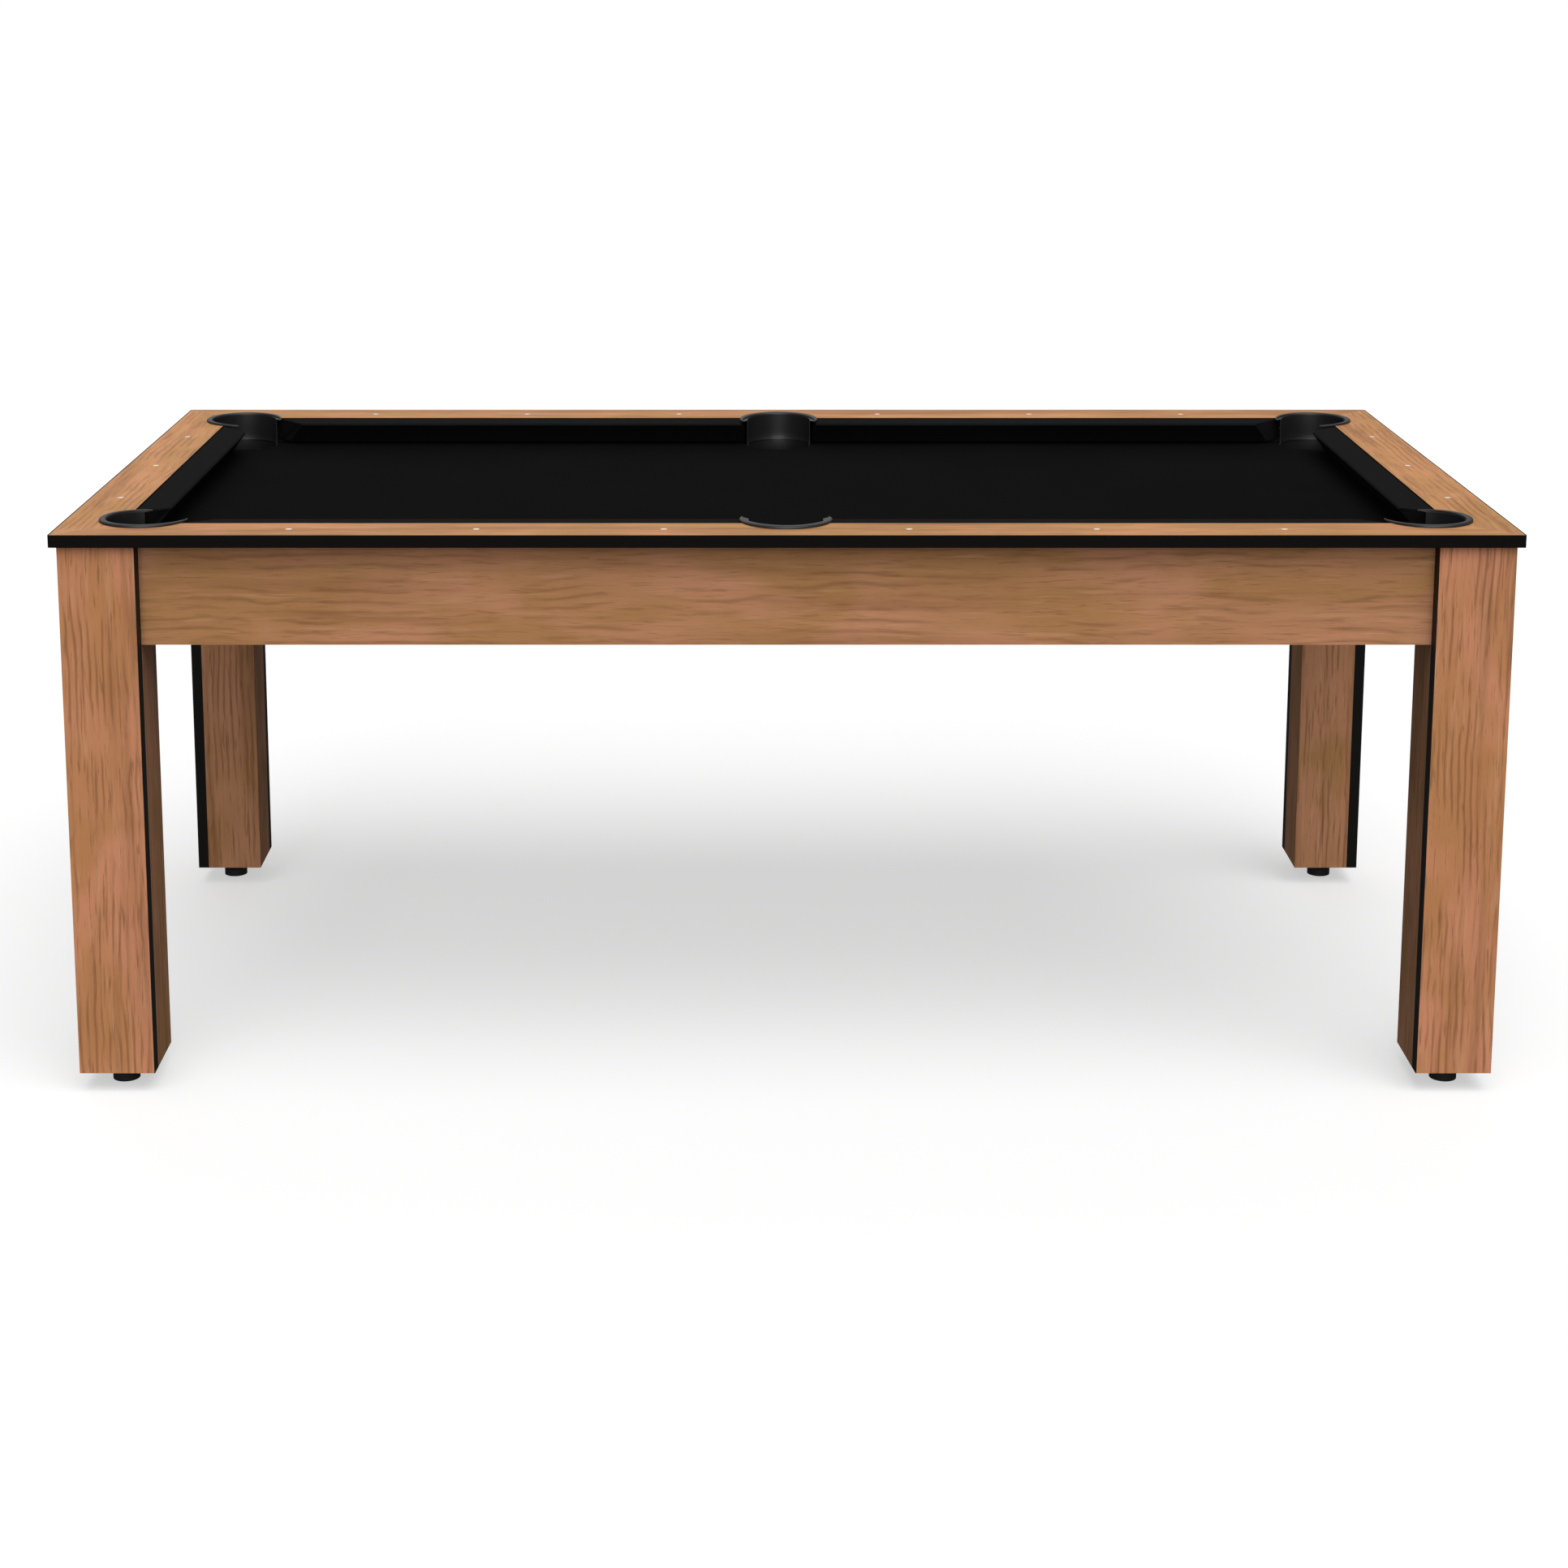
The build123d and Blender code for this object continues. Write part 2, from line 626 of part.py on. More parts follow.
# ---- the whole table
def table_parts():
    """Every node by name."""
    parts = {}
    parts.update(rail_tops())
    parts["rail_edging"] = rail_edging()
    parts["rail_sights"] = group(sight(x, y) for x, y in sight_places())
    parts.update(rail_liners())
    parts.update(cushions())
    parts["bed_slab"] = bed_plan(SLAB_LOW, SLAB_TOP, SLAB_NOTCH_R)
    parts["bed_cloth"] = bed_plan(SLAB_TOP, CLOTH_TOP, SLAB_NOTCH_R)
    for name, place in POCKETS.items():
        parts[f"pocket_rim_{name}"] = pocket_rim(place)
        parts[f"pocket_cup_{name}"] = pocket_cup(place)
    parts.update(aprons())
    parts["cross_beams"] = cross_beams()
    for name, (sx, sy) in CORNERS.items():
        for piece, solid in leg_panels(sx, sy).items():
            parts[f"leg_{name}_{piece}"] = solid
        parts[f"foot_pad_{name}"] = foot_pad(sx * FOOT_X, sy * FOOT_Y)
        parts[f"foot_stem_{name}"] = foot_stem(sx * FOOT_X, sy * FOOT_Y)
    parts["leg_top_plates"] = leg_top_plates()
    parts["foot_blocks"] = foot_blocks()
    parts["tee_nuts"] = tee_nuts()
    parts["rail_bolts"] = rail_bolts()
    parts["leg_bolts"] = leg_bolts()
    return parts


def main():
    """Write one STEP file for each node."""
    os.makedirs("parts", exist_ok=True)
    for name, part in table_parts().items():
        export_step(part, f"parts/{name}.step")


main()
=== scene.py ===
"""Looks of a dining-style pool table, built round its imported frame.

Boards, legs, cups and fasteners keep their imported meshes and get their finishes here. Cushions,
bed cloth, pocket rims, sights and screw stems are surfaces worked out with numpy. Metres, +Z up,
X along the table, front towards -Y.
"""

import logging
import math
from dataclasses import dataclass, field
from enum import Enum
from typing import Iterable, Sequence

import bmesh
import bpy
import numpy as np
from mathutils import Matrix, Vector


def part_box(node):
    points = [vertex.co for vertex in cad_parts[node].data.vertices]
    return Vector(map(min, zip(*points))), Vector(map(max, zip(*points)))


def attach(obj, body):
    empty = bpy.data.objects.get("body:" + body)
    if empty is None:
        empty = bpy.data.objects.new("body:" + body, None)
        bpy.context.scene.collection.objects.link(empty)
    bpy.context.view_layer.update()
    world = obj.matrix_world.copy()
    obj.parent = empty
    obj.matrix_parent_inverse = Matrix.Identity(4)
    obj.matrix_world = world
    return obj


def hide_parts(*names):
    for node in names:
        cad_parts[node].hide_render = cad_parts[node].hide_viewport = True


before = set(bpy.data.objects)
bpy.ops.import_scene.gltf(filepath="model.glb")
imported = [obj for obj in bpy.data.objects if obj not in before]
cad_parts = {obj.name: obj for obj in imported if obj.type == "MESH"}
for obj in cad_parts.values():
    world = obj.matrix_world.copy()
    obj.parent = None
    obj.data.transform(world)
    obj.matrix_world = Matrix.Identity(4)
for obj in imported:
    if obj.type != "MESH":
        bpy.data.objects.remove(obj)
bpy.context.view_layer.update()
LOG = logging.getLogger("pool_table")
MM = 0.001
NOISE_ROUGH = 0.55
TURN = 2 * math.pi
TINY = 1e-6

Array = np.ndarray
Material = bpy.types.Material
Piece = bpy.types.Object
Socket = bpy.types.NodeSocket
Colour = tuple[float, float, float]
Plan = tuple[float, float]


# ---- shader arithmetic
class Signal:
    """A number that varies over a surface. Arithmetic on it adds Math nodes."""

    def __init__(self, bench: "Bench", socket: Socket) -> None:
        """Wraps an output socket of a bench's material."""
        self.bench = bench
        self.socket = socket

    def _with(self, operation: str, first: "Value", second: "Value") -> "Signal":
        """The result of one Math node on two values."""
        node = self.bench.node("ShaderNodeMath", {"operation": operation}, {0: first, 1: second})
        return Signal(self.bench, node.outputs[0])

    def __add__(self, other: "Value") -> "Signal":
        """self + other."""
        return self._with("ADD", self, other)

    __radd__ = __add__

    def __sub__(self, other: "Value") -> "Signal":
        """self - other."""
        return self._with("SUBTRACT", self, other)

    def __rsub__(self, other: "Value") -> "Signal":
        """other - self."""
        return self._with("SUBTRACT", other, self)

    def __mul__(self, other: "Value") -> "Signal":
        """self * other."""
        return self._with("MULTIPLY", self, other)

    def __pow__(self, other: "Value") -> "Signal":
        """self to the power other."""
        return self._with("POWER", self, other)

    def __lt__(self, other: "Value") -> "Signal":
        """1 where self is under other, else 0."""
        return self._with("LESS_THAN", self, other)

    def __abs__(self) -> "Signal":
        """Size of self without its sign."""
        return self._with("ABSOLUTE", self, 0.0)

    def sine(self) -> "Signal":
        """Sine of self, in radians."""
        return self._with("SINE", self, 0.0)

    def ease(self, low: float, high: float) -> "Signal":
        """Smooth step.

        Args:
            low: where it starts to rise from 0.
            high: where it reaches 1.

        Returns:
            The step of self.
        """
        node = self.bench.node(
            "ShaderNodeMapRange",
            {"interpolation_type": "SMOOTHSTEP"},
            {"Value": self, "From Min": low, "From Max": high},
        )
        return Signal(self.bench, node.outputs[0])


Value = float | Signal
Socketed = Value | Socket | Sequence[float]
Inputs = dict[str | int, Socketed]


def four(colour: Socketed) -> Socketed:
    """A bare colour with its alpha; a socket stays as it is."""
    return (*colour, 1.0) if isinstance(colour, tuple) else colour


class Bench:
    """The nodes of one material, or of the world."""

    def __init__(self, name: str, world: bool = False) -> None:
        """Starts an empty node tree.

        Args:
            name: the name of what owns it.
            world: it belongs to a world and not to a material.
        """
        self.owner = (bpy.data.worlds if world else bpy.data.materials).new(name)
        self.owner.use_nodes = True
        self.tree = self.owner.node_tree
        self.tree.nodes.clear()
        self._place: Socket | None = None

    def node(
        self, kind: str, settings: dict[str, object] | None = None,
        inputs: Inputs | None = None,
    ) -> bpy.types.Node:
        """Adds a node.

        Args:
            kind: the node's type.
            settings: its own settings.
            inputs: values or links of its input sockets.

        Returns:
            The new node.
        """
        node = self.tree.nodes.new(kind)
        for name, value in (settings or {}).items():
            setattr(node, name, value)
        for key, value in (inputs or {}).items():
            source = value.socket if isinstance(value, Signal) else value
            if isinstance(source, Socket):
                self.tree.links.new(source, node.inputs[key])
            else:
                node.inputs[key].default_value = value
        return node

    def place(self) -> Socket:
        """The place on the object, asked for once.

        Returns:
            The place's socket, in metres in the row frame.
        """
        if self._place is None:
            self._place = self.node("ShaderNodeTexCoord").outputs["Object"]
        return self._place

    def axes(self) -> tuple[Signal, Signal, Signal]:
        """X, Y and Z of the place as signals."""
        split = self.node("ShaderNodeSeparateXYZ", {}, {0: self.place()})
        return tuple(Signal(self, out) for out in split.outputs)

    def noise(
        self, scale: float | Sequence[float], detail: float = 2.0, warp: float = 0.0
    ) -> Signal:
        """Smooth noise from 0 to 1.

        Args:
            scale: patches per metre, as one number or one for each axis.
            detail: how many finer layers are added.
            warp: how far the pattern is pulled out of shape.

        Returns:
            The noise.
        """
        at = self.place()
        if not isinstance(scale, float):
            inputs = {0: at, 1: scale}
            at = self.node("ShaderNodeVectorMath", {"operation": "MULTIPLY"}, inputs).outputs[0]
            scale = 1.0
        inputs = {
            "Vector": at, "Scale": scale, "Detail": detail, "Roughness": NOISE_ROUGH,
            "Distortion": warp,
        }
        return Signal(self, self.node("ShaderNodeTexNoise", {}, inputs).outputs[0])

    def blend(self, share: Value, first: Socketed, second: Socketed) -> Socket:
        """Mixes two colours.

        Args:
            share: 0 gives first and 1 gives second.
            first: a colour or the socket of one.
            second: a colour or the socket of one.

        Returns:
            The mixed colour's socket.
        """
        inputs = {0: share, 6: four(first), 7: four(second)}
        return self.node("ShaderNodeMix", {"data_type": "RGBA"}, inputs).outputs[2]

    def relief(self, height: Signal, depth: float, strength: float = 1.0) -> Socket:
        """A bumped normal.

        Args:
            height: the relief, from 0 to 1.
            depth: its depth in metres.
            strength: share of the relief that shows.

        Returns:
            The normal's socket.
        """
        inputs = {"Strength": strength, "Distance": depth, "Height": height}
        return self.node("ShaderNodeBump", {}, inputs).outputs[0]

    def finish(
        self, colour: Socketed, roughness: Socketed, normal: Socket | None = None,
        constants: Inputs | None = None, metallic: float = 0.0,
    ) -> Material:
        """Closes the tree with its shader.

        Args:
            colour: the base colour.
            roughness: the roughness.
            normal: a bumped normal, if there is one.
            constants: values set on the shader's own sockets.
            metallic: 1 for bare metal.

        Returns:
            The finished material.
        """
        inputs: Inputs = {
            "Base Color": four(colour), "Roughness": roughness, "Metallic": metallic,
            **(constants or {}),
        }
        if normal is not None:
            inputs["Normal"] = normal
        shader = self.node("ShaderNodeBsdfPrincipled", {}, inputs)
        self.node("ShaderNodeOutputMaterial", {}, {"Surface": shader.outputs[0]})
        return self.owner


# ---- finishes
class Grain(Enum):
    """Which way the wood grain runs."""

    ALONG = 0
    ACROSS = 1
    UPRIGHT = 2


class Edge(Enum):
    """Which edges of a board carry the black band, as the axis that its width is measured on."""

    NONE = None
    INNER_X = 0
    INNER_Y = 1
    SIDES = 2


@dataclass(frozen=True)
class Figure:
    """A layer of wood figure: patches per metre along and across the grain, detail and warp."""

    along: float
    across: float
    detail: float = 2.0
    warp: float = 0.0

    def on(self, bench: Bench, grain: Grain) -> Signal:
        """The layer's noise, stretched along the grain."""
        scale = [self.along if axis == grain.value else self.across for axis in range(3)]
        return bench.noise(scale, self.detail, self.warp)


@dataclass(frozen=True)
class Laminate:
    """Satin laminate printed with a warm wood grain; each share says how strongly a mark shows."""

    name: str
    grain: Grain
    rose: Colour = (0.560, 0.262, 0.138)
    gold: Colour = (0.450, 0.222, 0.088)
    dark: Colour = (0.245, 0.104, 0.044)
    line: Colour = (0.150, 0.062, 0.026)
    pale: Colour = (0.640, 0.345, 0.185)
    band: Colour = (0.006, 0.0055, 0.005)
    edge: Edge = Edge.NONE
    edge_at: float = 0.0
    edge_middle: float = 0.0
    ring_pitch: float = 0.0105
    ring_sway: float = 1.0
    ring_share: float = 0.50
    ring_power: float = 3.0
    dash_share: float = 0.62
    tone_share: float = 0.62
    pale_share: float = 0.40
    pore_share: float = 0.22
    gloss: float = 0.46
    swing: float = 0.12
    dash_depth: float = 0.55
    depth: float = 0.05 * MM
    specular: float = 0.14

    def make(self) -> Material:
        """Tone patches, ring lines that come and go, short dark dashes, pale streaks and pores.

        Returns:
            The material.
        """
        bench = Bench(self.name)
        axes = bench.axes()
        patch = Figure(5.0, 9.0, warp=0.6).on(bench, self.grain)
        tone = Figure(1.6, 34.0, 3.0, 0.3).on(bench, self.grain)
        dash = Figure(17.0, 250.0, 3.0, 0.35).on(bench, self.grain)
        glow = Figure(9.0, 140.0, warp=0.2).on(bench, self.grain)
        fine = Figure(45.0, 900.0).on(bench, self.grain)
        fade = Figure(7.0, 26.0).on(bench, self.grain)
        sway = Figure(5.5, 10.0, warp=0.3).on(bench, self.grain)
        first, second = (axis for number, axis in enumerate(axes) if number != self.grain.value)
        phase = (first + second) * (1.0 / self.ring_pitch) + sway * self.ring_sway * 2.0
        ring = ((phase * TURN).sine() * 0.5 + 0.5) ** self.ring_power
        lines = ring * fade.ease(0.42, 0.60) * self.ring_share
        dashes = dash.ease(0.54, 0.70) * self.dash_share
        colour = bench.blend(patch.ease(0.34, 0.66), self.gold, self.rose)
        colour = bench.blend(tone.ease(0.46, 0.74) * self.tone_share, colour, self.dark)
        colour = bench.blend(glow.ease(0.55, 0.75) * self.pale_share, colour, self.pale)
        colour = bench.blend(lines, colour, self.line)
        colour = bench.blend(dashes, colour, self.dark)
        colour = bench.blend(fine.ease(0.55, 0.75) * self.pore_share, colour, self.line)
        rough = self.gloss + tone * self.swing + dashes * self.swing
        height = dash * self.dash_depth + fine * (1.0 - self.dash_depth)
        if self.edge is not Edge.NONE:
            banded = abs(axes[self.edge.value] - self.edge_middle) < self.edge_at
            colour = bench.blend(banded, colour, self.band)
            height = height * (1.0 - banded)
        normal = bench.relief(height, self.depth, 0.5)
        return bench.finish(colour, rough, normal, {"Specular IOR Level": self.specular})


@dataclass(frozen=True)
class Moulding:
    """Black plastic or rubber with a fine moulded texture and a few scuffs."""

    name: str
    colour: Colour = (0.011, 0.011, 0.012)
    worn: Colour = (0.030, 0.030, 0.032)
    gloss: float = 0.34
    grit: float = 900.0
    depth: float = 0.03
    specular: float = 0.5

    def make(self) -> Material:
        """Grit in the relief, cloudy gloss and faint scuffs.

        Returns:
            The material.
        """
        bench = Bench(self.name)
        grit = bench.noise(self.grit, 2.0)
        cloud = bench.noise(34.0, 3.0)
        scuff = bench.noise((60.0, 190.0, 120.0), 4.0, 1.2)
        colour = bench.blend(scuff.ease(0.60, 0.80) * 0.6, self.colour, self.worn)
        rough = self.gloss + cloud * 0.12 + scuff.ease(0.58, 0.80) * 0.10
        normal = bench.relief(grit, self.depth * MM)
        return bench.finish(colour, rough, normal, {"Specular IOR Level": self.specular})


@dataclass(frozen=True)
class Cloth:
    """Napped woven billiard cloth."""

    name: str
    colour: Colour = (0.0026, 0.0024, 0.0025)
    lint: Colour = (0.0043, 0.0040, 0.0041)
    thread: float = 0.75 * MM
    specular: float = 0.012

    def make(self) -> Material:
        """Crossed threads as a product of sines, softened by a nap of fine noise.

        Returns:
            The material.
        """
        bench = Bench(self.name)
        x, y, z = bench.axes()
        turn = TURN / self.thread
        warp = ((x + z) * turn).sine()
        weft = ((y + z) * turn).sine()
        weave = (warp * weft) * 0.25 + 0.5
        nap = bench.noise(1700.0, 3.0)
        wear = bench.noise(5.5, 3.0)
        colour = bench.blend((nap * 0.6 + wear * 0.4).ease(0.35, 0.70), self.colour, self.lint)
        rough = 0.86 + wear * 0.10
        normal = bench.relief(weave * 0.6 + nap * 0.4, 0.12 * MM, 0.6)
        constants = {
            "Specular IOR Level": self.specular, "Sheen Weight": 0.004, "Sheen Roughness": 0.6,
            "Sheen Tint": (0.5, 0.5, 0.52, 1.0),
        }
        return bench.finish(colour, rough, normal, constants)


@dataclass(frozen=True)
class Pearl:
    """Polished pearl of the rail sights."""

    name: str = "sight_pearl"
    cream: Colour = (0.94, 0.82, 0.62)
    rose: Colour = (0.88, 0.70, 0.52)
    cool: Colour = (0.86, 0.84, 0.76)

    def make(self) -> Material:
        """Cloudy layers of cream, rose and a cooler tone under a clear coat.

        Returns:
            The material.
        """
        bench = Bench(self.name)
        layers = bench.noise((160.0, 260.0, 90.0), 3.0, 2.5)
        cast = bench.noise(210.0, 2.0, 1.5)
        colour = bench.blend(layers.ease(0.35, 0.65), self.cream, self.rose)
        colour = bench.blend(cast.ease(0.50, 0.75) * 0.5, colour, self.cool)
        rough = 0.16 + layers * 0.10
        return bench.finish(colour, rough, None, {"Coat Weight": 0.6, "Coat Roughness": 0.06})


@dataclass(frozen=True)
class SawnTimber:
    """Raw softwood of beams, liners and blocks."""

    name: str
    grain: Grain = Grain.ACROSS
    pale: Colour = (0.56, 0.40, 0.22)
    ring: Colour = (0.36, 0.21, 0.10)

    def make(self) -> Material:
        """Early and late wood in bands, with saw marks across the grain.

        Returns:
            The material.
        """
        bench = Bench(self.name)
        bands = Figure(2.5, 95.0, 3.0, 0.8).on(bench, self.grain)
        saw = Figure(900.0, 12.0, 1.0).on(bench, self.grain)
        colour = bench.blend(bands.ease(0.40, 0.66), self.pale, self.ring)
        normal = bench.relief(saw * 0.6 + bands * 0.4, 0.15 * MM)
        return bench.finish(colour, 0.72 + saw * 0.12, normal, {"Specular IOR Level": 0.2})


@dataclass(frozen=True)
class Fibreboard:
    """Raw pressed board of the bed slab."""

    name: str = "slab_fibreboard"
    base: Colour = (0.34, 0.235, 0.13)
    fleck: Colour = (0.20, 0.13, 0.07)

    def make(self) -> Material:
        """Pressed fibres as fine flecks over a broad tone.

        Returns:
            The material.
        """
        bench = Bench(self.name)
        fibres = bench.noise(420.0, 4.0, 0.6)
        tone = bench.noise(6.0, 2.0)
        colour = bench.blend(fibres.ease(0.48, 0.72) * 0.7 + tone * 0.1, self.base, self.fleck)
        normal = bench.relief(fibres, 0.08 * MM)
        return bench.finish(colour, 0.80 + fibres * 0.10, normal, {"Specular IOR Level": 0.15})


@dataclass(frozen=True)
class Zinc:
    """Bright zinc plate on screws and nuts."""

    name: str = "zinc_plate"
    bright: Colour = (0.60, 0.61, 0.64)
    dull: Colour = (0.38, 0.38, 0.37)

    def make(self) -> Material:
        """Cloudy plate with turning marks.

        Returns:
            The material.
        """
        bench = Bench(self.name)
        cloud = bench.noise(160.0, 3.0, 0.8)
        marks = bench.noise((220.0, 220.0, 2400.0), 1.0)
        colour = bench.blend(cloud.ease(0.40, 0.72), self.bright, self.dull)
        rough = 0.26 + cloud * 0.16
        return bench.finish(colour, rough, bench.relief(marks, 0.015 * MM), metallic=1.0)


# ---- surfaces
def linked(name: str, data: bpy.types.ID) -> Piece:
    """Puts an object in the scene.

    Args:
        name: its name.
        data: its mesh, lamp or camera.

    Returns:
        The new object.
    """
    piece = bpy.data.objects.new(name, data)
    bpy.context.scene.collection.objects.link(piece)
    return piece


@dataclass
class Shell:
    """Points and faces gathered from one or more surfaces."""

    points: list[Array] = field(default_factory=list)
    faces: list[list[int]] = field(default_factory=list)
    count: int = 0

    def add(self, points: Array, faces: Iterable[Sequence[int]]) -> None:
        """Takes in one surface.

        Args:
            points: its points, with x, y and z on the last axis.
            faces: the numbers of each face's points, from 0.
        """
        self.faces.extend((np.asarray(face) + self.count).tolist() for face in faces)
        self.points.append(points.reshape(-1, 3))
        self.count += len(self.points[-1])

    def sweep(self, rows: Array, closed: bool = False, crest: int | None = None) -> None:
        """A tube of sections: neighbours are joined point by point, and open ends get a flat cap.

        Args:
            rows: points of shape (sections, points per section, 3); each section is a closed loop.
            closed: the last section joins the first one.
            crest: a point of the sections of a closed tube. Two flat faces over the whole ring,
                through this point and the next, take the place of the strip between them.
        """
        sections, around = rows.shape[:2]
        index = np.arange(sections * around).reshape(sections, around)
        after = np.roll(index, -1, axis=0) if closed else index[1:]
        before = index if closed else index[:-1]
        quads = np.stack([before, np.roll(before, -1, 1), np.roll(after, -1, 1), after], axis=-1)
        caps = [] if closed else [index[0][::-1], index[-1]]
        if crest is not None:
            quads = np.delete(quads, crest, axis=1)
            caps = [index[:, crest], index[:, crest + 1][::-1]]
        self.add(rows, [*quads.reshape(-1, 4), *caps])

    def build(self, name: str, finish: Material, smooth_deg: float = 32.0) -> Piece:
        """Makes the object, with its faces turned outwards.

        Args:
            name: the piece's name.
            finish: its only finish.
            smooth_deg: edges sharper than this stay sharp.

        Returns:
            The new object, linked to the scene.
        """
        mesh = bpy.data.meshes.new(name)
        mesh.from_pydata(np.concatenate(self.points).tolist(), [], self.faces)
        work = bmesh.new()
        work.from_mesh(mesh)
        bmesh.ops.recalc_face_normals(work, faces=work.faces)
        work.to_mesh(mesh)
        work.free()
        mesh.shade_smooth()
        mesh.set_sharp_from_angle(angle=math.radians(smooth_deg))
        mesh.materials.append(finish)
        return linked(name, mesh)


def rounded(corners: Sequence[Plan], radii: Sequence[float], steps: int = 7) -> Array:
    """A closed outline whose corners are turned into arcs.

    Each corner is cut back along both edges by radius * tan(turn / 2), and the points between
    are a quadratic curve with the corner as its control point.

    Args:
        corners: the sharp outline.
        radii: one radius for each corner; 0 leaves it sharp.
        steps: points on each arc.

    Returns:
        Points of shape (n, 2).
    """
    corner = np.asarray(corners, float)
    back = np.roll(corner, 1, axis=0) - corner
    ahead = np.roll(corner, -1, axis=0) - corner
    back_unit = back / np.linalg.norm(back, axis=1, keepdims=True)
    ahead_unit = ahead / np.linalg.norm(ahead, axis=1, keepdims=True)
    inside = np.arccos(np.clip((back_unit * ahead_unit).sum(1), -1, 1))
    cut = np.asarray(radii, float) / np.tan(inside / 2)
    start = corner + back_unit * cut[:, None]
    end = corner + ahead_unit * cut[:, None]
    share = np.linspace(0, 1, steps)[None, :, None]
    arcs = (1 - share) ** 2 * start[:, None] + 2 * share * (1 - share) * corner[:, None]
    arcs = arcs + share**2 * end[:, None]
    keep = np.ones((len(corner), steps), bool)
    keep[np.asarray(radii) <= 0, 1:] = False
    return arcs[keep]


def inward(outline: Array) -> Array:
    """Tangents of a closed outline, turned by a quarter to its inner side.

    Args:
        outline: points of shape (n, 2).

    Returns:
        Unit vectors of shape (n, 2).
    """
    tangent = np.roll(outline, -1, axis=0) - np.roll(outline, 1, axis=0)
    tangent /= np.linalg.norm(tangent, axis=1, keepdims=True)
    after = np.roll(outline, -1, axis=0)
    area = (outline[:, 0] * after[:, 1] - after[:, 0] * outline[:, 1]).sum()
    return np.stack([-tangent[:, 1], tangent[:, 0]], 1) * math.copysign(1.0, area)


def dense(outline: Array, pitch: float) -> Array:
    """Adds points on the long edges of a closed outline, so that none is longer than pitch.

    Args:
        outline: points of shape (n, 2).
        pitch: the longest edge wanted.

    Returns:
        The denser outline.
    """
    after = np.roll(outline, -1, axis=0)
    cuts = np.maximum(1, np.ceil(np.linalg.norm(after - outline, axis=1) / pitch).astype(int))
    owner = np.repeat(np.arange(len(outline)), cuts)
    share = (np.arange(len(owner)) - np.repeat(np.cumsum(cuts) - cuts, cuts)) / cuts[owner]
    return outline[owner] * (1 - share[:, None]) + after[owner] * share[:, None]


def about(x: float, y: float, radius: Array, turn: Array, height: Array) -> Array:
    """Points round an upright axis: x + radius * cos(turn), y + radius * sin(turn) and the height.

    Args:
        x: the axis's place along the table.
        y: its place across the table.
        radius: distances from the axis.
        turn: angles round it.
        height: heights.

    Returns:
        Points with x, y and z on the last axis.
    """
    shape = np.broadcast_shapes(radius.shape, turn.shape)
    across = x + radius * np.cos(turn), y + radius * np.sin(turn)
    return np.stack([*across, np.broadcast_to(height, shape)], axis=-1)


def full_turn(steps: int) -> Array:
    """Even angles of a full turn, without its end."""
    return np.linspace(0, TURN, steps, endpoint=False)


def dress_node(name: str, finish: Material) -> None:
    """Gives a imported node's object its finish and reports it.

    Args:
        name: the node's name.
        finish: its only finish.
    """
    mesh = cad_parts[name].data
    mesh.materials.clear()
    mesh.materials.append(finish)
    LOG.info("%s dressed in %s", name, finish.name)


def settle(piece: Piece, body: str, nodes: Sequence[str]) -> None:
    """Lets a new piece ride and hides the nodes that it stands for.

    Args:
        piece: the new piece.
        body: the body that it moves with.
        nodes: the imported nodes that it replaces.
    """
    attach(piece, body)
    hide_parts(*nodes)
    LOG.info("%s built: %d faces", piece.name, len(piece.data.polygons))


# ---- the table's own numbers, read from the frame
@dataclass(frozen=True)
class Plot:
    """Places that several sub-assemblies share."""

    half_l: float
    half_w: float
    wood_top: float
    top: float
    rail_in_x: float
    rail_in_y: float
    cloth_top: float
    slab_x: float
    slab_y: float

    @classmethod
    def read(cls) -> "Plot":
        """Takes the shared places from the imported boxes.

        Returns:
            The plot.
        """
        nodes = ("rail_edging", "pocket_rim_rear_middle", "cushion_right", "cushion_rear_right")
        edging, rim, side, rear = (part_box(node)[1] for node in nodes)
        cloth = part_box("bed_cloth")[1]
        return cls(*edging, rim.z, side.x, rear.y, cloth.z, cloth.x, cloth.y)


SIDES = {"left": -1, "right": 1}
FACES = {"front": -1, "rear": 1}
CORNERS = {f"{face}_{side}": (sx, sy) for face, sy in FACES.items() for side, sx in SIDES.items()}
RUNS = (("along", Grain.ALONG, FACES), ("across", Grain.ACROSS, SIDES))
TABLE = "table"


@dataclass(frozen=True)
class Pocket:
    """One pocket: its centre, its mouth's direction and angle in degrees, and its lip's radius."""

    name: str
    x: float
    y: float
    mouth: float
    mouth_deg: float
    lip_r: float


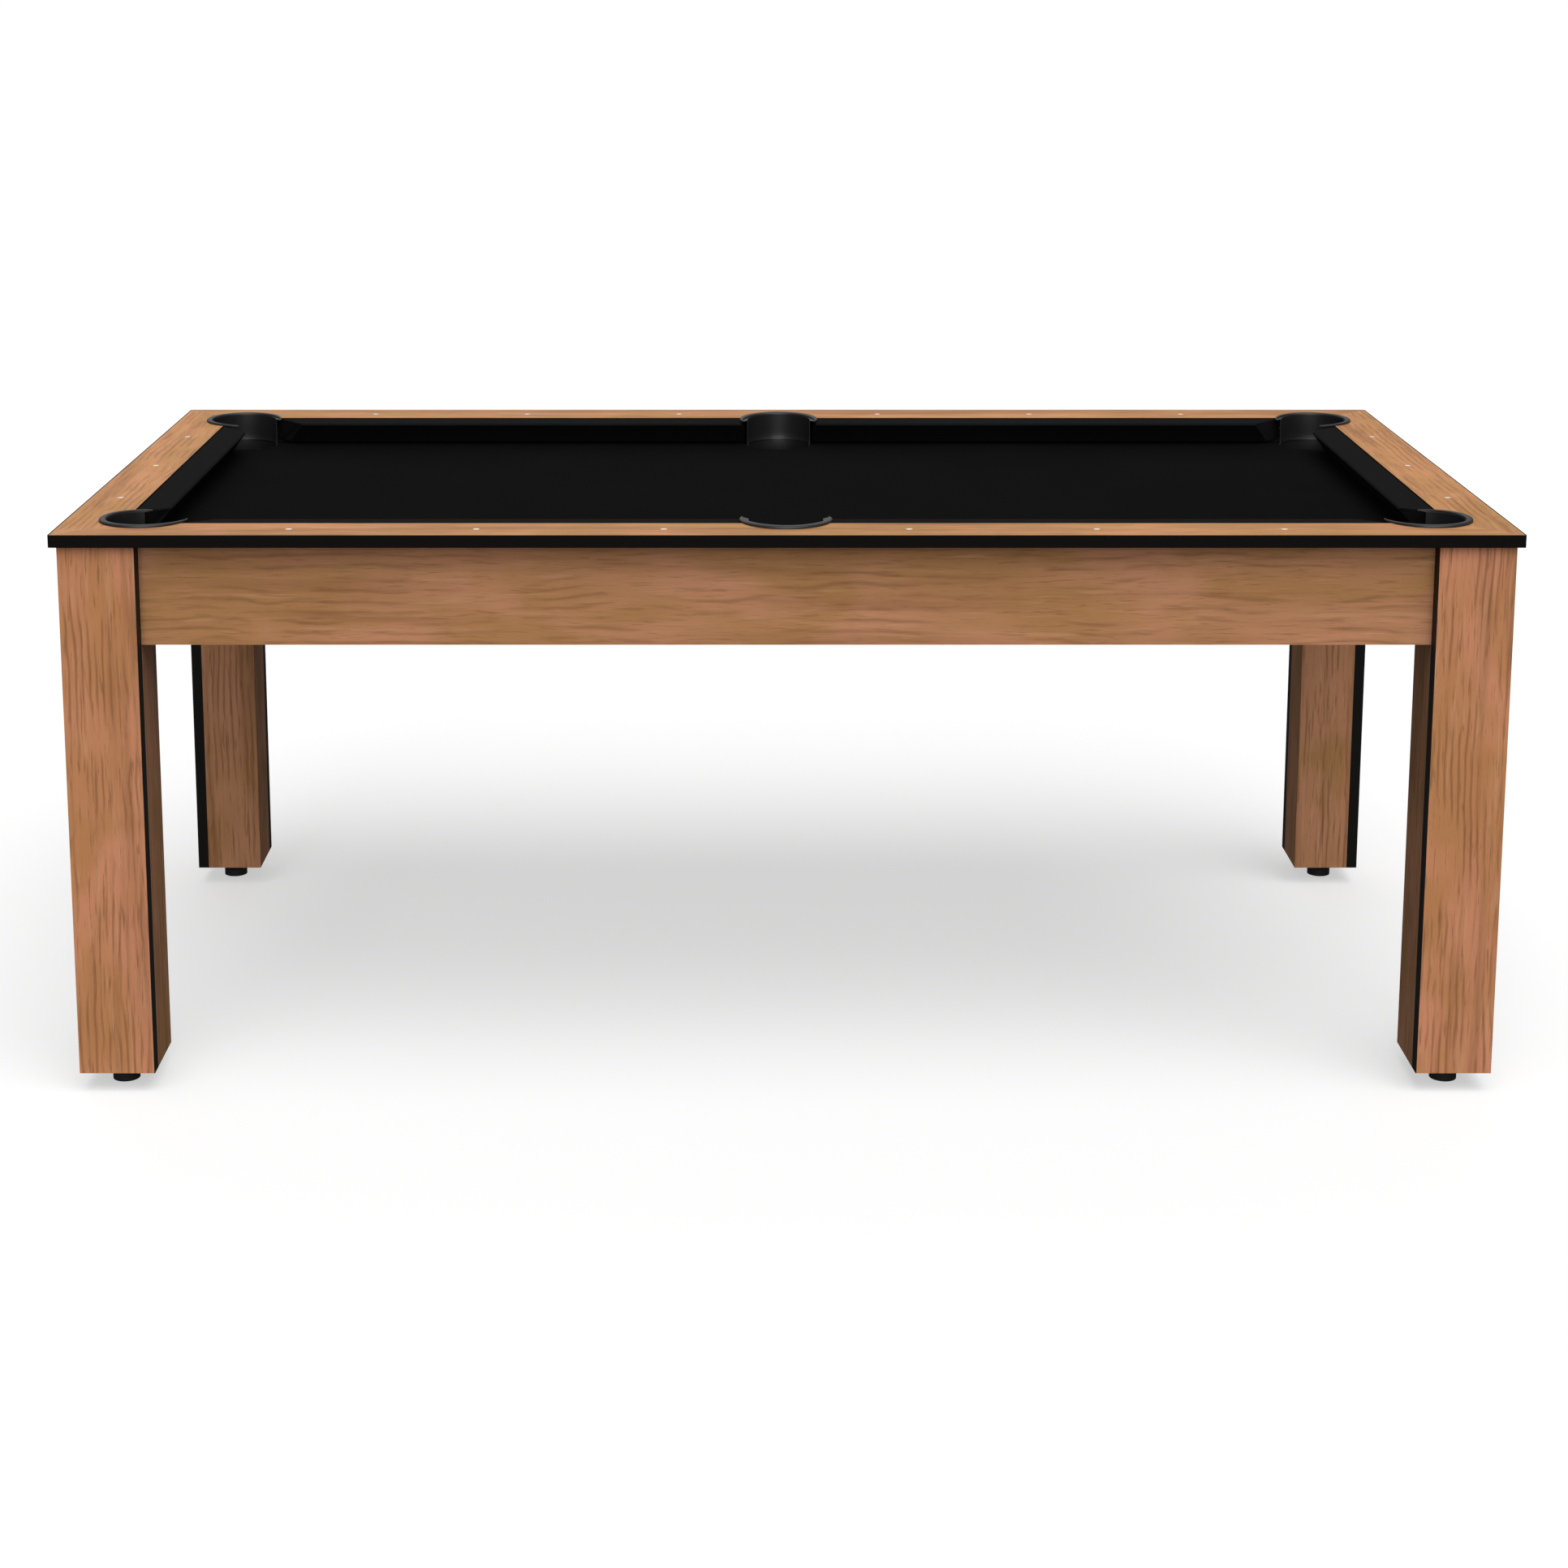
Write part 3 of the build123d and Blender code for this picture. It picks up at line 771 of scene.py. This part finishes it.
@dataclass
class PocketSet:
    """The six moulded rims and their cups."""

    plot: Plot
    wall_r: float = 57.0 * MM
    wall_t: float = 2.5 * MM
    slab_drop: float = 43.0 * MM
    ring_drop: float = 68.0 * MM
    corner_mouth: float = 90.0
    middle_mouth: float = 146.0
    corner_lip_r: float = 65.0 * MM
    middle_lip_r: float = 68.0 * MM
    ring_radii: tuple[float, ...] = (0.6, 0.3, 0.3, 1.1)
    lip_gap: float = 0.2 * MM
    horn_power: float = 3.4
    horn_end: float = 0.12
    horn_rise: float = 0.35
    horn_tuck: float = 1.5 * MM
    tuck_power: int = 14
    arch_points: int = 17
    arch_square: float = 0.75
    arch_flat: float = 0.62
    wall_end_t: float = 0.7 * MM
    wall_end_power: int = 24
    flange_t: float = 0.5 * MM
    flange_turn: float = 0.915
    flange_end: float = 0.95
    wall_share: float = 0.92
    wall_points: int = 14
    flare: float = 1.6 * MM
    flare_power: float = 9.0
    angles: int = 120

    def pockets(self) -> list[Pocket]:
        """Each pocket's place, from the box of its rim's lip and the table's middle lines.

        Returns:
            The four corner pockets and the two middle ones.
        """
        found = []
        for name in [*CORNERS, *(f"{face}_middle" for face in FACES)]:
            rim_low, rim_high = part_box(f"pocket_rim_{name}")
            corner = name in CORNERS
            sx, sy = CORNERS[name] if corner else (0, FACES[name.split("_")[0]])
            mouth = math.degrees(math.atan2(-sy, -sx))
            outer_x = max(abs(rim_low.x), abs(rim_high.x))
            outer_y = max(abs(rim_low.y), abs(rim_high.y))
            lip_r = self.corner_lip_r if corner else self.middle_lip_r
            x = sx * (outer_x - lip_r) if corner else 0.0
            angle = self.corner_mouth if corner else self.middle_mouth
            found.append(Pocket(name, x, sy * (outer_y - lip_r), mouth, angle, lip_r))
        return found

    def bead(self, pocket: Pocket, turn: Array) -> tuple[Array, Array]:
        """Radius and height of the lip's section at each turn away from the middle of its back.

        The bead's width and height fall as 1 - |turn| ** power while its outer edge stays on the
        same circle. The thin flange that joins it to the wall narrows near the ends by a smooth
        step, so the lip runs out into pointed horns.

        Args:
            pocket: the pocket.
            turn: angles from -1 at one horn's tip to 1 at the other's.

        Returns:
            Radii and heights, each of shape (angles, points).
        """
        inner = self.wall_r - self.wall_t
        top = self.plot.wood_top
        size = np.abs(turn)[:, None]
        swell = self.horn_end + (1 - self.horn_end) * (1 - size**self.horn_power)
        outer = pocket.lip_r - self.horn_tuck * size**self.tuck_power
        width = (outer - inner - self.lip_gap) * swell
        thick = (self.plot.top - top) * (self.horn_rise + (1 - self.horn_rise) * swell)
        arch = np.linspace(0, math.pi, self.arch_points)[None, :]
        sway = np.sign(np.cos(arch)) * np.abs(np.cos(arch)) ** self.arch_square
        arch_r = outer - width / 2 + width / 2 * sway
        rise = self.flange_t * (1 - np.cos(arch)) / 2
        arch_z = top + rise + (thick - rise) * np.sin(arch) ** self.arch_flat
        narrow = np.clip((size - self.flange_turn) / (1 - self.flange_turn), 0, 1)
        narrow = narrow**2 * (3 - 2 * narrow)
        edge = inner + (outer - width - inner) * narrow * self.flange_end
        edge_z = np.broadcast_to([[top + self.flange_t * 0.9, top]], (len(turn), 2))
        radius = np.concatenate([arch_r, edge, edge], axis=1)
        return radius, np.concatenate([arch_z, edge_z], axis=1)

    def wall(self, turn: Array) -> tuple[Array, Array]:
        """Radius and height of the wall's section, which curves inwards near the bed.

        Args:
            turn: angles from -1 at one end to 1 at the other, where the wall gets thin.

        Returns:
            Radii and heights, each of shape (angles, points).
        """
        inner = self.wall_r - self.wall_t
        drop = np.linspace(0, 1, self.wall_points)
        shape = (len(turn), len(drop))
        face_r = np.broadcast_to(inner - self.flare * drop**self.flare_power, shape)
        face_z = np.broadcast_to(self.plot.wood_top - drop * self.slab_drop, shape)
        thin = (self.wall_t - self.wall_end_t) * np.abs(turn)[:, None] ** self.wall_end_power
        back_r = np.broadcast_to(self.wall_r - thin, (len(turn), 2))
        height = np.concatenate([face_z, face_z[:, [-1, 0]]], axis=1)
        return np.concatenate([face_r, back_r], axis=1), height

    def ring(self) -> tuple[Array, Array]:
        """Section of the ring that lines the slab's opening: a box with rounded corners.

        Returns:
            Radii and heights.
        """
        join = self.plot.wood_top - self.slab_drop - self.lip_gap
        low = self.plot.wood_top - self.ring_drop
        inner = self.wall_r - self.wall_t
        corners = [(inner, low), (self.wall_r, low), (self.wall_r, join), (inner, join)]
        loop = rounded(corners, np.asarray(self.ring_radii) * MM, 5)
        return loop[:, 0], loop[:, 1]

    def rim(self, pocket: Pocket, finish: Material) -> None:
        """Makes the lip, the wall under it and the ring in the slab below, as one piece.

        Args:
            pocket: the pocket.
            finish: the moulding.
        """
        turn = np.linspace(-1, 1, self.angles)
        back = math.radians(pocket.mouth + 180)
        reach = turn * math.radians(180 - pocket.mouth_deg / 2)
        parts = [
            (back + reach, self.bead(pocket, turn), False),
            (back + reach * self.wall_share, self.wall(turn), False),
            (full_turn(self.angles), self.ring(), True),
        ]
        shell = Shell()
        for around, (radius, height), closed in parts:
            shell.sweep(about(pocket.x, pocket.y, radius, around[:, None], height), closed)
        piece = shell.build(f"rim_{pocket.name}", finish, 40.0)
        settle(piece, TABLE, [f"pocket_rim_{pocket.name}"])

    def build(self) -> None:
        """Makes the rims and dresses the cups."""
        black = (0.008, 0.008, 0.009)
        rim_finish = Moulding("rim_moulding", black, gloss=0.36, specular=0.45).make()
        cup_finish = Moulding("cup_moulding", gloss=0.50, grit=600.0).make()
        for pocket in self.pockets():
            self.rim(pocket, rim_finish)
            dress_node(f"pocket_cup_{pocket.name}", cup_finish)


@dataclass
class CushionSet:
    """Six rubber cushions with cloth stretched over them."""

    plot: Plot
    pockets: list[Pocket]
    reach: float = 48.0 * MM
    nose_up: float = 36.3 * MM
    top_gap: float = 0.5 * MM
    fall: float = 2.2 * MM
    lift: float = 3.0 * MM
    base: float = 22.0 * MM
    nose_cut: float = 2.6 * MM
    tuck: tuple[Plan, ...] = ((0.0, 2.2 * MM), (0.7 * MM, 1.9 * MM), (2.6 * MM, 0.0))
    bend_at: float = 0.55
    bend_fall: float = 0.42
    knee_out: float = 9.0 * MM
    knee_up: float = 13.0 * MM
    facing_r: float = 58.5 * MM
    corner_lean: float = 45.0
    middle_lean: float = 12.0
    end_round: float = 2.4 * MM
    corner_radii: tuple[float, ...] = (0.5, 0.4, 0.4, 1.3, 9.0, 3.0, 1.5, 2.0, 14.0, 0.8)
    section_pitch: float = 2.2 * MM
    stations: int = 90
    pucker: float = 0.35 * MM
    folds: int = 23
    fold_reach: float = 7.0 * MM

    def profile(self) -> Array:
        """A cushion's section: a tucked back edge, a sloped top, the nose and a slanted underside.

        Returns:
            Reach from the rail and height, of shape (n, 2).
        """
        top = self.plot.wood_top - self.top_gap
        low = self.plot.cloth_top + self.lift
        nose = self.plot.cloth_top + self.nose_up
        back = self.reach - self.nose_cut
        corners = [
            (0.0, low), *((out, top - drop) for out, drop in self.tuck),
            (back * self.bend_at, top - self.fall * self.bend_fall), (back, top - self.fall),
            (self.reach, nose), (back, nose - self.nose_cut),
            (self.base + self.knee_out, low + self.knee_up), (self.base, low),
        ]
        return dense(rounded(corners, np.asarray(self.corner_radii) * MM, 8), self.section_pitch)

    def facing(self, offset: Array, lean_deg: float) -> Array:
        """An end's distance from its pocket's centre: (r - offset * sin) / cos of the lean."""
        lean = math.radians(lean_deg)
        return (self.facing_r - offset * math.sin(lean)) / math.cos(lean)

    def sections(
        self, ends: Sequence[tuple[float, float, float, int]], rail_in: float
    ) -> Array:
        """Along, across and height of the whole cushion.

        Sections run from one facing to the other. In the last few millimetres they shrink as
        round - sqrt(round^2 - (round - depth)^2), which rounds the cloth over the ends, and
        small puckers, falling off with the distance from the end, show where it is folded.

        Args:
            ends: for both ends, the pocket's place along the rail, its centre across the rail,
                the facing's lean, and the way that the cushion runs from it.
            rail_in: the rail's inner edge.

        Returns:
            Points of shape (stations, points per section, 3).
        """
        outline = self.profile()
        into = inward(outline)
        share = (1 - np.cos(np.linspace(0, math.pi, self.stations))) / 2
        near = self.end_round * (1 - np.cos(np.linspace(0, math.pi / 2, 7)[:-1]))
        across = rail_in - outline[:, 0]
        start, end = (
            place + way * self.facing(across - centre, lean) for place, centre, lean, way in ends
        )
        way = ends[0][3]
        span = np.abs(end - start)
        middle = self.end_round + share[:, None] * (span - 2 * self.end_round)[None, :]
        first = np.broadcast_to(near[:, None], (len(near), len(span)))
        depth = np.concatenate([first, middle, span[None, :] - first[::-1]])
        from_end = np.minimum(depth, span[None, :] - depth)
        inset = np.clip(self.end_round - from_end, 0, None)
        shrink = self.end_round - np.sqrt(np.clip(self.end_round**2 - inset**2, 0, None))
        place = np.arange(len(outline)) / len(outline)
        folds = np.sin(place * TURN * self.folds) * np.exp(-from_end / self.fold_reach)
        shrink = shrink + self.pucker * (folds * 0.5 + 0.5) * (from_end > 0)
        section = outline[None] + into[None] * shrink[..., None]
        along = start[None, :] + way * depth
        return np.stack([along, rail_in - section[..., 0], section[..., 1]], axis=-1)

    def build(self) -> None:
        """Makes all six cushions, cut to their pockets."""
        # Painted light: the cushion cloth is the bed's black cloth painted about one and a half
        # times lighter, because the cushions' faces get less light than the bed.
        shades = (0.0040, 0.0038, 0.0039), (0.0066, 0.0063, 0.0064)
        finish = Cloth("cushion_cloth", *shades, specular=0.04).make()
        corner = next(p for p in self.pockets if p.name == "rear_right")
        middle = next(p for p in self.pockets if p.name == "rear_middle")
        for face, sy in FACES.items():
            for side, sx in SIDES.items():
                ends = [
                    (0.0, middle.y, self.middle_lean, sx),
                    (sx * corner.x, corner.y, self.corner_lean, -sx),
                ]
                rows = self.sections(ends, self.plot.rail_in_y) * (1, sy, 1)
                self.cushion(f"{face}_{side}", rows, finish)
        ends = [(way * -corner.y, corner.x, self.corner_lean, way) for way in (1, -1)]
        for side, sx in SIDES.items():
            rows = self.sections(ends, self.plot.rail_in_x) * (1, sx, 1)
            self.cushion(side, rows[..., [1, 0, 2]], finish)

    def cushion(self, name: str, rows: Array, finish: Material) -> None:
        """Makes one cushion.

        Args:
            name: its place on the table.
            rows: the points of its sections.
            finish: its cloth.
        """
        shell = Shell()
        shell.sweep(rows)
        piece = shell.build(f"cloth_cushion_{name}", finish, 50.0)
        settle(piece, TABLE, [f"cushion_{name}"])


@dataclass
class Bed:
    """The bed's cloth and the slab under it."""

    plot: Plot
    pockets: list[Pocket]
    notch_r: float = 58.5 * MM
    cloth_t: float = 1.0 * MM
    turn_down: float = 5.0 * MM
    lap: float = 4.0 * MM
    crease: float = 0.05 * MM
    arc_steps: int = 46
    bend_steps: int = 6
    pitch: float = 25.0 * MM

    def outline(self) -> Array:
        """Plan of the sheet: the slab's rectangle with an open notch at each pocket.

        Returns:
            Points of shape (n, 2).
        """
        runs = []
        for pocket in sorted(self.pockets, key=lambda p: math.atan2(p.y, p.x) % TURN):
            out = math.radians(pocket.mouth + 180)
            arc = out - math.pi / 2 - np.linspace(0, math.pi, self.arc_steps)
            notch = np.full_like(arc, self.notch_r)
            ring = about(pocket.x, pocket.y, notch, arc, arc)[:, :2]
            way = np.array([math.cos(out), math.sin(out)])
            ends = []
            for point in (ring[0], ring[-1]):
                room = [
                    (limit - abs(at)) / abs(step)
                    for limit, at, step in zip((self.plot.slab_x, self.plot.slab_y), point, way)
                    if abs(step) > TINY
                ]
                ends.append(point + way * min(room))
            runs.append(np.concatenate([[ends[0]], ring, [ends[1]]]))
        return dense(np.concatenate(runs), self.pitch)

    def cloth(self, finish: Material) -> Piece:
        """The sheet: flat on the slab, rolled over its edge all round and turned down a little.

        Each section across the edge goes from the cut end up the outer face, over an arc of one
        cloth thickness, and back along the inner face.

        Args:
            finish: its cloth.

        Returns:
            The sheet.
        """
        outline = self.outline()
        into = inward(outline)
        top = self.plot.cloth_top
        edge = top - self.cloth_t
        bend = np.linspace(0, math.pi / 2, self.bend_steps)
        low = edge - self.turn_down
        out_inset = np.concatenate([[-self.cloth_t], -self.cloth_t * np.cos(bend), [self.lap]])
        out_height = np.concatenate([[low], edge + self.cloth_t * np.sin(bend), [top]])
        inset = np.concatenate([out_inset, [self.lap, self.crease, 0.0, 0.0]])
        height = np.concatenate([out_height, [edge, edge, edge - self.crease, low]])
        plan = outline[:, None, :] + into[:, None, :] * inset[None, :, None]
        upright = np.broadcast_to(height[None, :, None], (*plan.shape[:2], 1))
        rows = np.concatenate([plan, upright], axis=-1)
        shell = Shell()
        shell.sweep(rows, closed=True, crest=len(out_inset) - 1)
        piece = shell.build("bed_cloth_sheet", finish, 60.0)
        settle(piece, TABLE, ["bed_cloth"])
        return piece

    def build(self) -> None:
        """Makes the cloth and dresses the slab."""
        piece = self.cloth(Cloth("bed_cloth").make())
        flat = (
            2 * (self.plot.slab_y + self.cloth_t + self.turn_down),
            2 * (self.plot.slab_x + self.cloth_t + self.turn_down),
        )
        dress_node("bed_slab", Fibreboard().make())


@dataclass
class Rails:
    """Rail tops, their edge bands, sights and liners."""

    plot: Plot
    inset: float = 46.0 * MM
    first: float = 176.0 * MM
    pitch: float = 269.0 * MM
    sight_r: float = 4.75 * MM
    dome: float = 0.35 * MM
    seat: float = 2.6 * MM
    skin: float = 0.4 * MM
    petals: int = 32

    def sight_places(self) -> Array:
        """Plan places of the eighteen sights.

        Returns:
            Points of shape (18, 2).
        """
        steps = self.first + np.arange(3) * self.pitch
        along = np.concatenate([-steps, steps])
        across = (np.arange(3) - 1) * self.pitch
        at_x = self.plot.half_l - self.inset
        at_y = self.plot.half_w - self.inset
        long_rails = [(x, sy * at_y) for sy in FACES.values() for x in along]
        return np.array(long_rails + [(sx * at_x, y) for sx in SIDES.values() for y in across])

    def sights(self, finish: Material) -> None:
        """Makes low domes, whose height falls with the square of the distance from the middle.

        Args:
            finish: the pearl.
        """
        top = self.plot.wood_top
        share = np.concatenate([[0.02], np.linspace(0.2, 1.0, 6)])
        radius = np.concatenate([self.sight_r * share, [self.sight_r]])[:, None]
        height = np.concatenate([top + self.dome * (1 - share**2), [top - self.seat]])[:, None]
        shell = Shell()
        for x, y in self.sight_places():
            shell.sweep(about(x, y, radius, full_turn(self.petals), height))
        piece = shell.build("pearl_sights", finish)
        settle(piece, TABLE, ["rail_sights"])

    def build(self) -> None:
        """Dresses the boards and liners and makes the sights."""
        low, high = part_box("rail_top_front")
        warm = {
            "rose": (0.545, 0.248, 0.102), "gold": (0.450, 0.218, 0.070), "dash_share": 0.40,
            "edge": Edge.SIDES, "edge_middle": (low.z + high.z) / 2,
            "edge_at": (high.z - low.z) / 2 - self.skin,
        }
        stain = {"pale": (0.012, 0.010, 0.009), "ring": (0.006, 0.005, 0.005)}
        for way, grain, places in RUNS:
            board = Laminate(f"rail_laminate_{way}", grain, **warm).make()
            liner = SawnTimber(f"liner_{way}", grain, **stain).make()
            for place in places:
                dress_node(f"rail_top_{place}", board)
                dress_node(f"rail_liner_{place}", liner)
        shades = (0.0040, 0.0033, 0.0029), (0.008, 0.007, 0.0065)
        dress_node("rail_edging", Moulding("edge_band", *shades, 0.46, 500.0, 0.02, 0.07).make())
        self.sights(Pearl().make())


@dataclass
class Cabinet:
    """Aprons, beams and plates."""

    def build(self) -> None:
        """Dresses the boards with the grain along each one."""
        calm = {
            "ring_pitch": 0.016, "ring_sway": 1.15, "ring_share": 0.36, "dash_share": 0.45,
            "tone_share": 0.45,
        }
        for way, grain, places in RUNS:
            board = Laminate(f"apron_laminate_{way}", grain, **calm).make()
            for place in places:
                dress_node(f"apron_{place}", board)
        dress_node("cross_beams", SawnTimber("beam_timber", Grain.ACROSS).make())
        dress_node("leg_top_plates", SawnTimber("plate_timber", Grain.ALONG).make())


@dataclass
class Legs:
    """Four legs of laminated panels with black edge bands."""

    band_t: float = 1.2 * MM

    def build(self) -> None:
        """Dresses the panels; the band shows on the edge that faces the table's middle."""
        pink = {"rose": (0.640, 0.272, 0.146), "gold": (0.510, 0.228, 0.092)}
        finishes = {"inner_panels": Laminate("leg_laminate_inner", Grain.UPRIGHT).make()}
        for panel, edge in (("face", Edge.INNER_X), ("end", Edge.INNER_Y)):
            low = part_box(f"leg_rear_right_{panel}_panel")[0]
            band = {"edge": edge, "edge_at": low[edge.value] + self.band_t}
            board = Laminate(f"leg_laminate_{panel}", Grain.UPRIGHT, **pink, **band)
            finishes[f"{panel}_panel"] = board.make()
        for corner in CORNERS:
            for panel, finish in finishes.items():
                dress_node(f"leg_{corner}_{panel}", finish)
        dress_node("foot_blocks", SawnTimber("block_timber", Grain.UPRIGHT).make())


@dataclass
class Feet:
    """Levelling feet: rubber pads and threaded stems."""

    stem_foot_r: float = 6.0 * MM
    stem_r: float = 5.0 * MM
    across_flats: float = 17.0 * MM
    pitch: float = 1.5 * MM
    thread_depth: float = 0.62 * MM
    crest_flat: float = 1.35
    tip_l: float = 1.2 * MM
    tip_cut: float = 0.7 * MM
    per_turn: int = 48
    per_pitch: int = 8
    hex_low: float = 14.2 * MM
    hex_high: float = 28.2 * MM
    hex_points: int = 72
    chamfer: float = 1.0 * MM
    chamfer_slope: float = 1.9
    chamfer_cut: float = 0.3 * MM
    foot_edge: float = 0.5 * MM
    overlap: float = 0.1 * MM

    def rod(self, x: float, y: float, low: float, high: float) -> Array:
        """Threaded rod with a tapered tip.

        At each angle and height the radius falls from the crest by the thread's depth times a
        flattened wave of height / pitch - angle / full turn.

        Args:
            x: the axis's place along the table.
            y: its place across the table.
            low: the height of its lower end.
            high: the height of its tip.

        Returns:
            Points of shape (rows, angles, 3).
        """
        turn = full_turn(self.per_turn)[None, :]
        rows = int((high - low) / self.pitch * self.per_pitch)
        height = np.linspace(low, high, rows)[:, None]
        wave = np.cos(TURN * (height / self.pitch) - turn)
        groove = (1 - np.clip(wave * self.crest_flat, -1, 1)) / 2
        fade = np.clip((height - low) / self.pitch, 0, 1)
        tip = np.clip((height - (high - self.tip_l)) / MM, 0, 1)
        radius = self.stem_r - self.thread_depth * groove * fade - self.tip_cut * tip
        return about(x, y, radius, turn, height)

    def hexagon(self, x: float, y: float) -> Array:
        """Hexagon section carried up, its corners cut by a cone at both ends.

        The radius is half the width across flats, divided by the cosine of the angle from the
        middle of the nearest flat.

        Args:
            x: the axis's place along the table.
            y: its place across the table.

        Returns:
            Points of shape (sections, angles, 3).
        """
        turn = full_turn(self.hex_points)[None, :]
        flat = self.across_flats / 2
        reach = flat / np.cos((turn + math.pi / 6) % (math.pi / 3) - math.pi / 6)
        rise = np.array([0.0, 0.35, 1.0])[:, None] * self.chamfer
        height = np.concatenate([self.hex_low + rise, self.hex_high - rise[::-1]])
        limit = flat + np.concatenate([rise, rise[::-1]]) * self.chamfer_slope - self.chamfer_cut
        return about(x, y, np.minimum(reach, limit), turn, height)

    def stem(self, corner: str, finish: Material) -> None:
        """Makes the stem's round foot, its hexagon and the threaded rod, as one piece.

        Args:
            corner: the leg that the stem is in.
            finish: its plate.
        """
        low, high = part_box(f"foot_stem_{corner}")
        x = (low.x + high.x) / 2
        y = (low.y + high.y) / 2
        wide = self.stem_foot_r
        radius = np.array([[wide - self.foot_edge], [wide], [wide]])
        height = np.array([[low.z], [low.z + self.foot_edge], [self.hex_low + self.overlap]])
        shell = Shell()
        shell.sweep(about(x, y, radius, full_turn(self.per_turn)[None, :], height))
        shell.sweep(self.hexagon(x, y))
        shell.sweep(self.rod(x, y, self.hex_high - self.overlap, high.z))
        piece = shell.build(f"screw_stem_{corner}", finish, 28.0)
        settle(piece, f"stem_{corner}", [f"foot_stem_{corner}"])

    def build(self) -> None:
        """Makes the stems and dresses the pads."""
        zinc = Zinc("stem_zinc").make()
        shades = (0.012, 0.010, 0.011), (0.05, 0.05, 0.05)
        rubber = Moulding("foot_rubber", *shades, 0.62, 700.0, 0.06, 0.4).make()
        for corner in CORNERS:
            self.stem(corner, zinc)
            dress_node(f"foot_pad_{corner}", rubber)


@dataclass
class Fasteners:
    """Bolts and nuts inside the cabinet."""

    def build(self) -> None:
        """Dresses them in zinc plate."""
        zinc = Zinc("bolt_zinc").make()
        for name in ("rail_bolts", "leg_bolts", "tee_nuts"):
            dress_node(name, zinc)


# ---- studio
@dataclass(frozen=True)
class Lamp:
    """A far lamp with a soft face: its height, turn and width in degrees, and its level."""

    name: str
    up_deg: float
    turn_deg: float
    level: float
    width_deg: float

    def light(self) -> None:
        """Hangs the lamp; level 1 lights a white surface that faces it to full white."""
        lamp = bpy.data.lights.new(self.name, "SUN")
        lamp.energy = self.level * math.pi
        lamp.angle = math.radians(self.width_deg)
        piece = linked(self.name, lamp)
        piece.rotation_euler = (math.radians(90.0 - self.up_deg), 0.0, math.radians(self.turn_deg))


@dataclass
class Studio:
    """Pale floor, soft lights and the camera."""

    floor_half: float = 60.0
    floor_tone: Colour = (0.46, 0.46, 0.46)
    eye: tuple[float, float, float] = (-0.063, -4.589, 1.686)
    pitch_deg: float = 10.83
    lens: float = 66.78
    shift: Plan = (0.0264, -0.19)
    sensor: float = 36.0
    sky: float = 0.25
    ground: float = 0.08
    horizon: float = 0.15
    floor_glow: float = 0.50
    lamps: tuple[Lamp, ...] = (
        Lamp("front", 16.0, -2.0, 0.30, 40.0),
        Lamp("key", 63.0, 18.0, 0.86, 60.0),
        Lamp("back", 38.0, 190.0, 0.12, 60.0),
    )

    def floor(self) -> None:
        """A wide square in a pale tone with a hardly visible mottle, which throws no light back."""
        edge = np.array([-self.floor_half, self.floor_half])
        x, y = np.meshgrid(edge, edge)
        points = np.stack([x, y, np.zeros_like(x)], axis=-1).reshape(-1, 3)
        mesh = bpy.data.meshes.new("floor")
        mesh.from_pydata(points.tolist(), [], [[0, 1, 3, 2]])
        piece = linked("floor", mesh)
        piece.visible_diffuse = piece.visible_glossy = False
        bench = Bench("floor_pale")
        darker = tuple(part * 0.99 for part in self.floor_tone)
        colour = bench.blend(bench.noise(3.0), self.floor_tone, darker)
        glow = {"Emission Color": (1.0, 1.0, 1.0, 1.0), "Emission Strength": self.floor_glow}
        mesh.materials.append(bench.finish(colour, 0.9, None, glow))

    def world(self) -> None:
        """A white backdrop to look at and a dim even sky for the light."""
        bench = Bench("studio", world=True)
        white = {"Color": (1.0, 1.0, 1.0, 1.0)}
        way = bench.node("ShaderNodeTexCoord").outputs["Generated"]
        height = bench.node("ShaderNodeSeparateXYZ", {}, {0: way}).outputs["Z"]
        span = {
            "Value": height, "From Min": -self.horizon, "From Max": self.horizon,
            "To Min": self.ground, "To Max": self.sky,
        }
        level = bench.node("ShaderNodeMapRange", {}, span).outputs[0]
        dim = bench.node("ShaderNodeBackground", {}, {**white, "Strength": level}).outputs[0]
        plain = bench.node("ShaderNodeBackground", {}, white).outputs[0]
        seen = bench.node("ShaderNodeLightPath").outputs["Is Camera Ray"]
        mix = bench.node("ShaderNodeMixShader", {}, {0: seen, 1: dim, 2: plain})
        bench.node("ShaderNodeOutputWorld", {}, {"Surface": mix.outputs[0]})
        bpy.context.scene.world = bench.owner

    def camera(self) -> None:
        """The view from the front, a little over the table's height."""
        lens = bpy.data.cameras.new("view")
        lens.lens = self.lens
        lens.sensor_width = self.sensor
        lens.shift_x, lens.shift_y = self.shift
        eye = linked("view", lens)
        eye.location = self.eye
        eye.rotation_euler = (math.radians(90.0 - self.pitch_deg), 0.0, 0.0)
        bpy.context.scene.camera = eye

    def build(self) -> None:
        """Sets the stage."""
        self.floor()
        for lamp in self.lamps:
            lamp.light()
        self.world()
        self.camera()
        bpy.context.scene.view_settings.view_transform = "Standard"


def note_sizes() -> None:
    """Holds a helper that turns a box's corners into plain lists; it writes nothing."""
    def plain(box: Sequence[Sequence[float]]) -> list[list[float]]:
        """Corners as lists of numbers."""
        return [[float(part) for part in corner] for corner in box]


def main() -> None:
    """Builds and dresses the table, sub-assembly by sub-assembly."""
    plot = Plot.read()
    pocket_set = PocketSet(plot)
    pockets = pocket_set.pockets()
    pocket_set.build()
    CushionSet(plot, pockets).build()
    Bed(plot, pockets).build()
    Rails(plot).build()
    Cabinet().build()
    Legs().build()
    Feet().build()
    Fasteners().build()
    Studio().build()
    note_sizes()


if __name__ == "__main__":
    logging.basicConfig(level=logging.INFO, format="%(message)s")
    main()
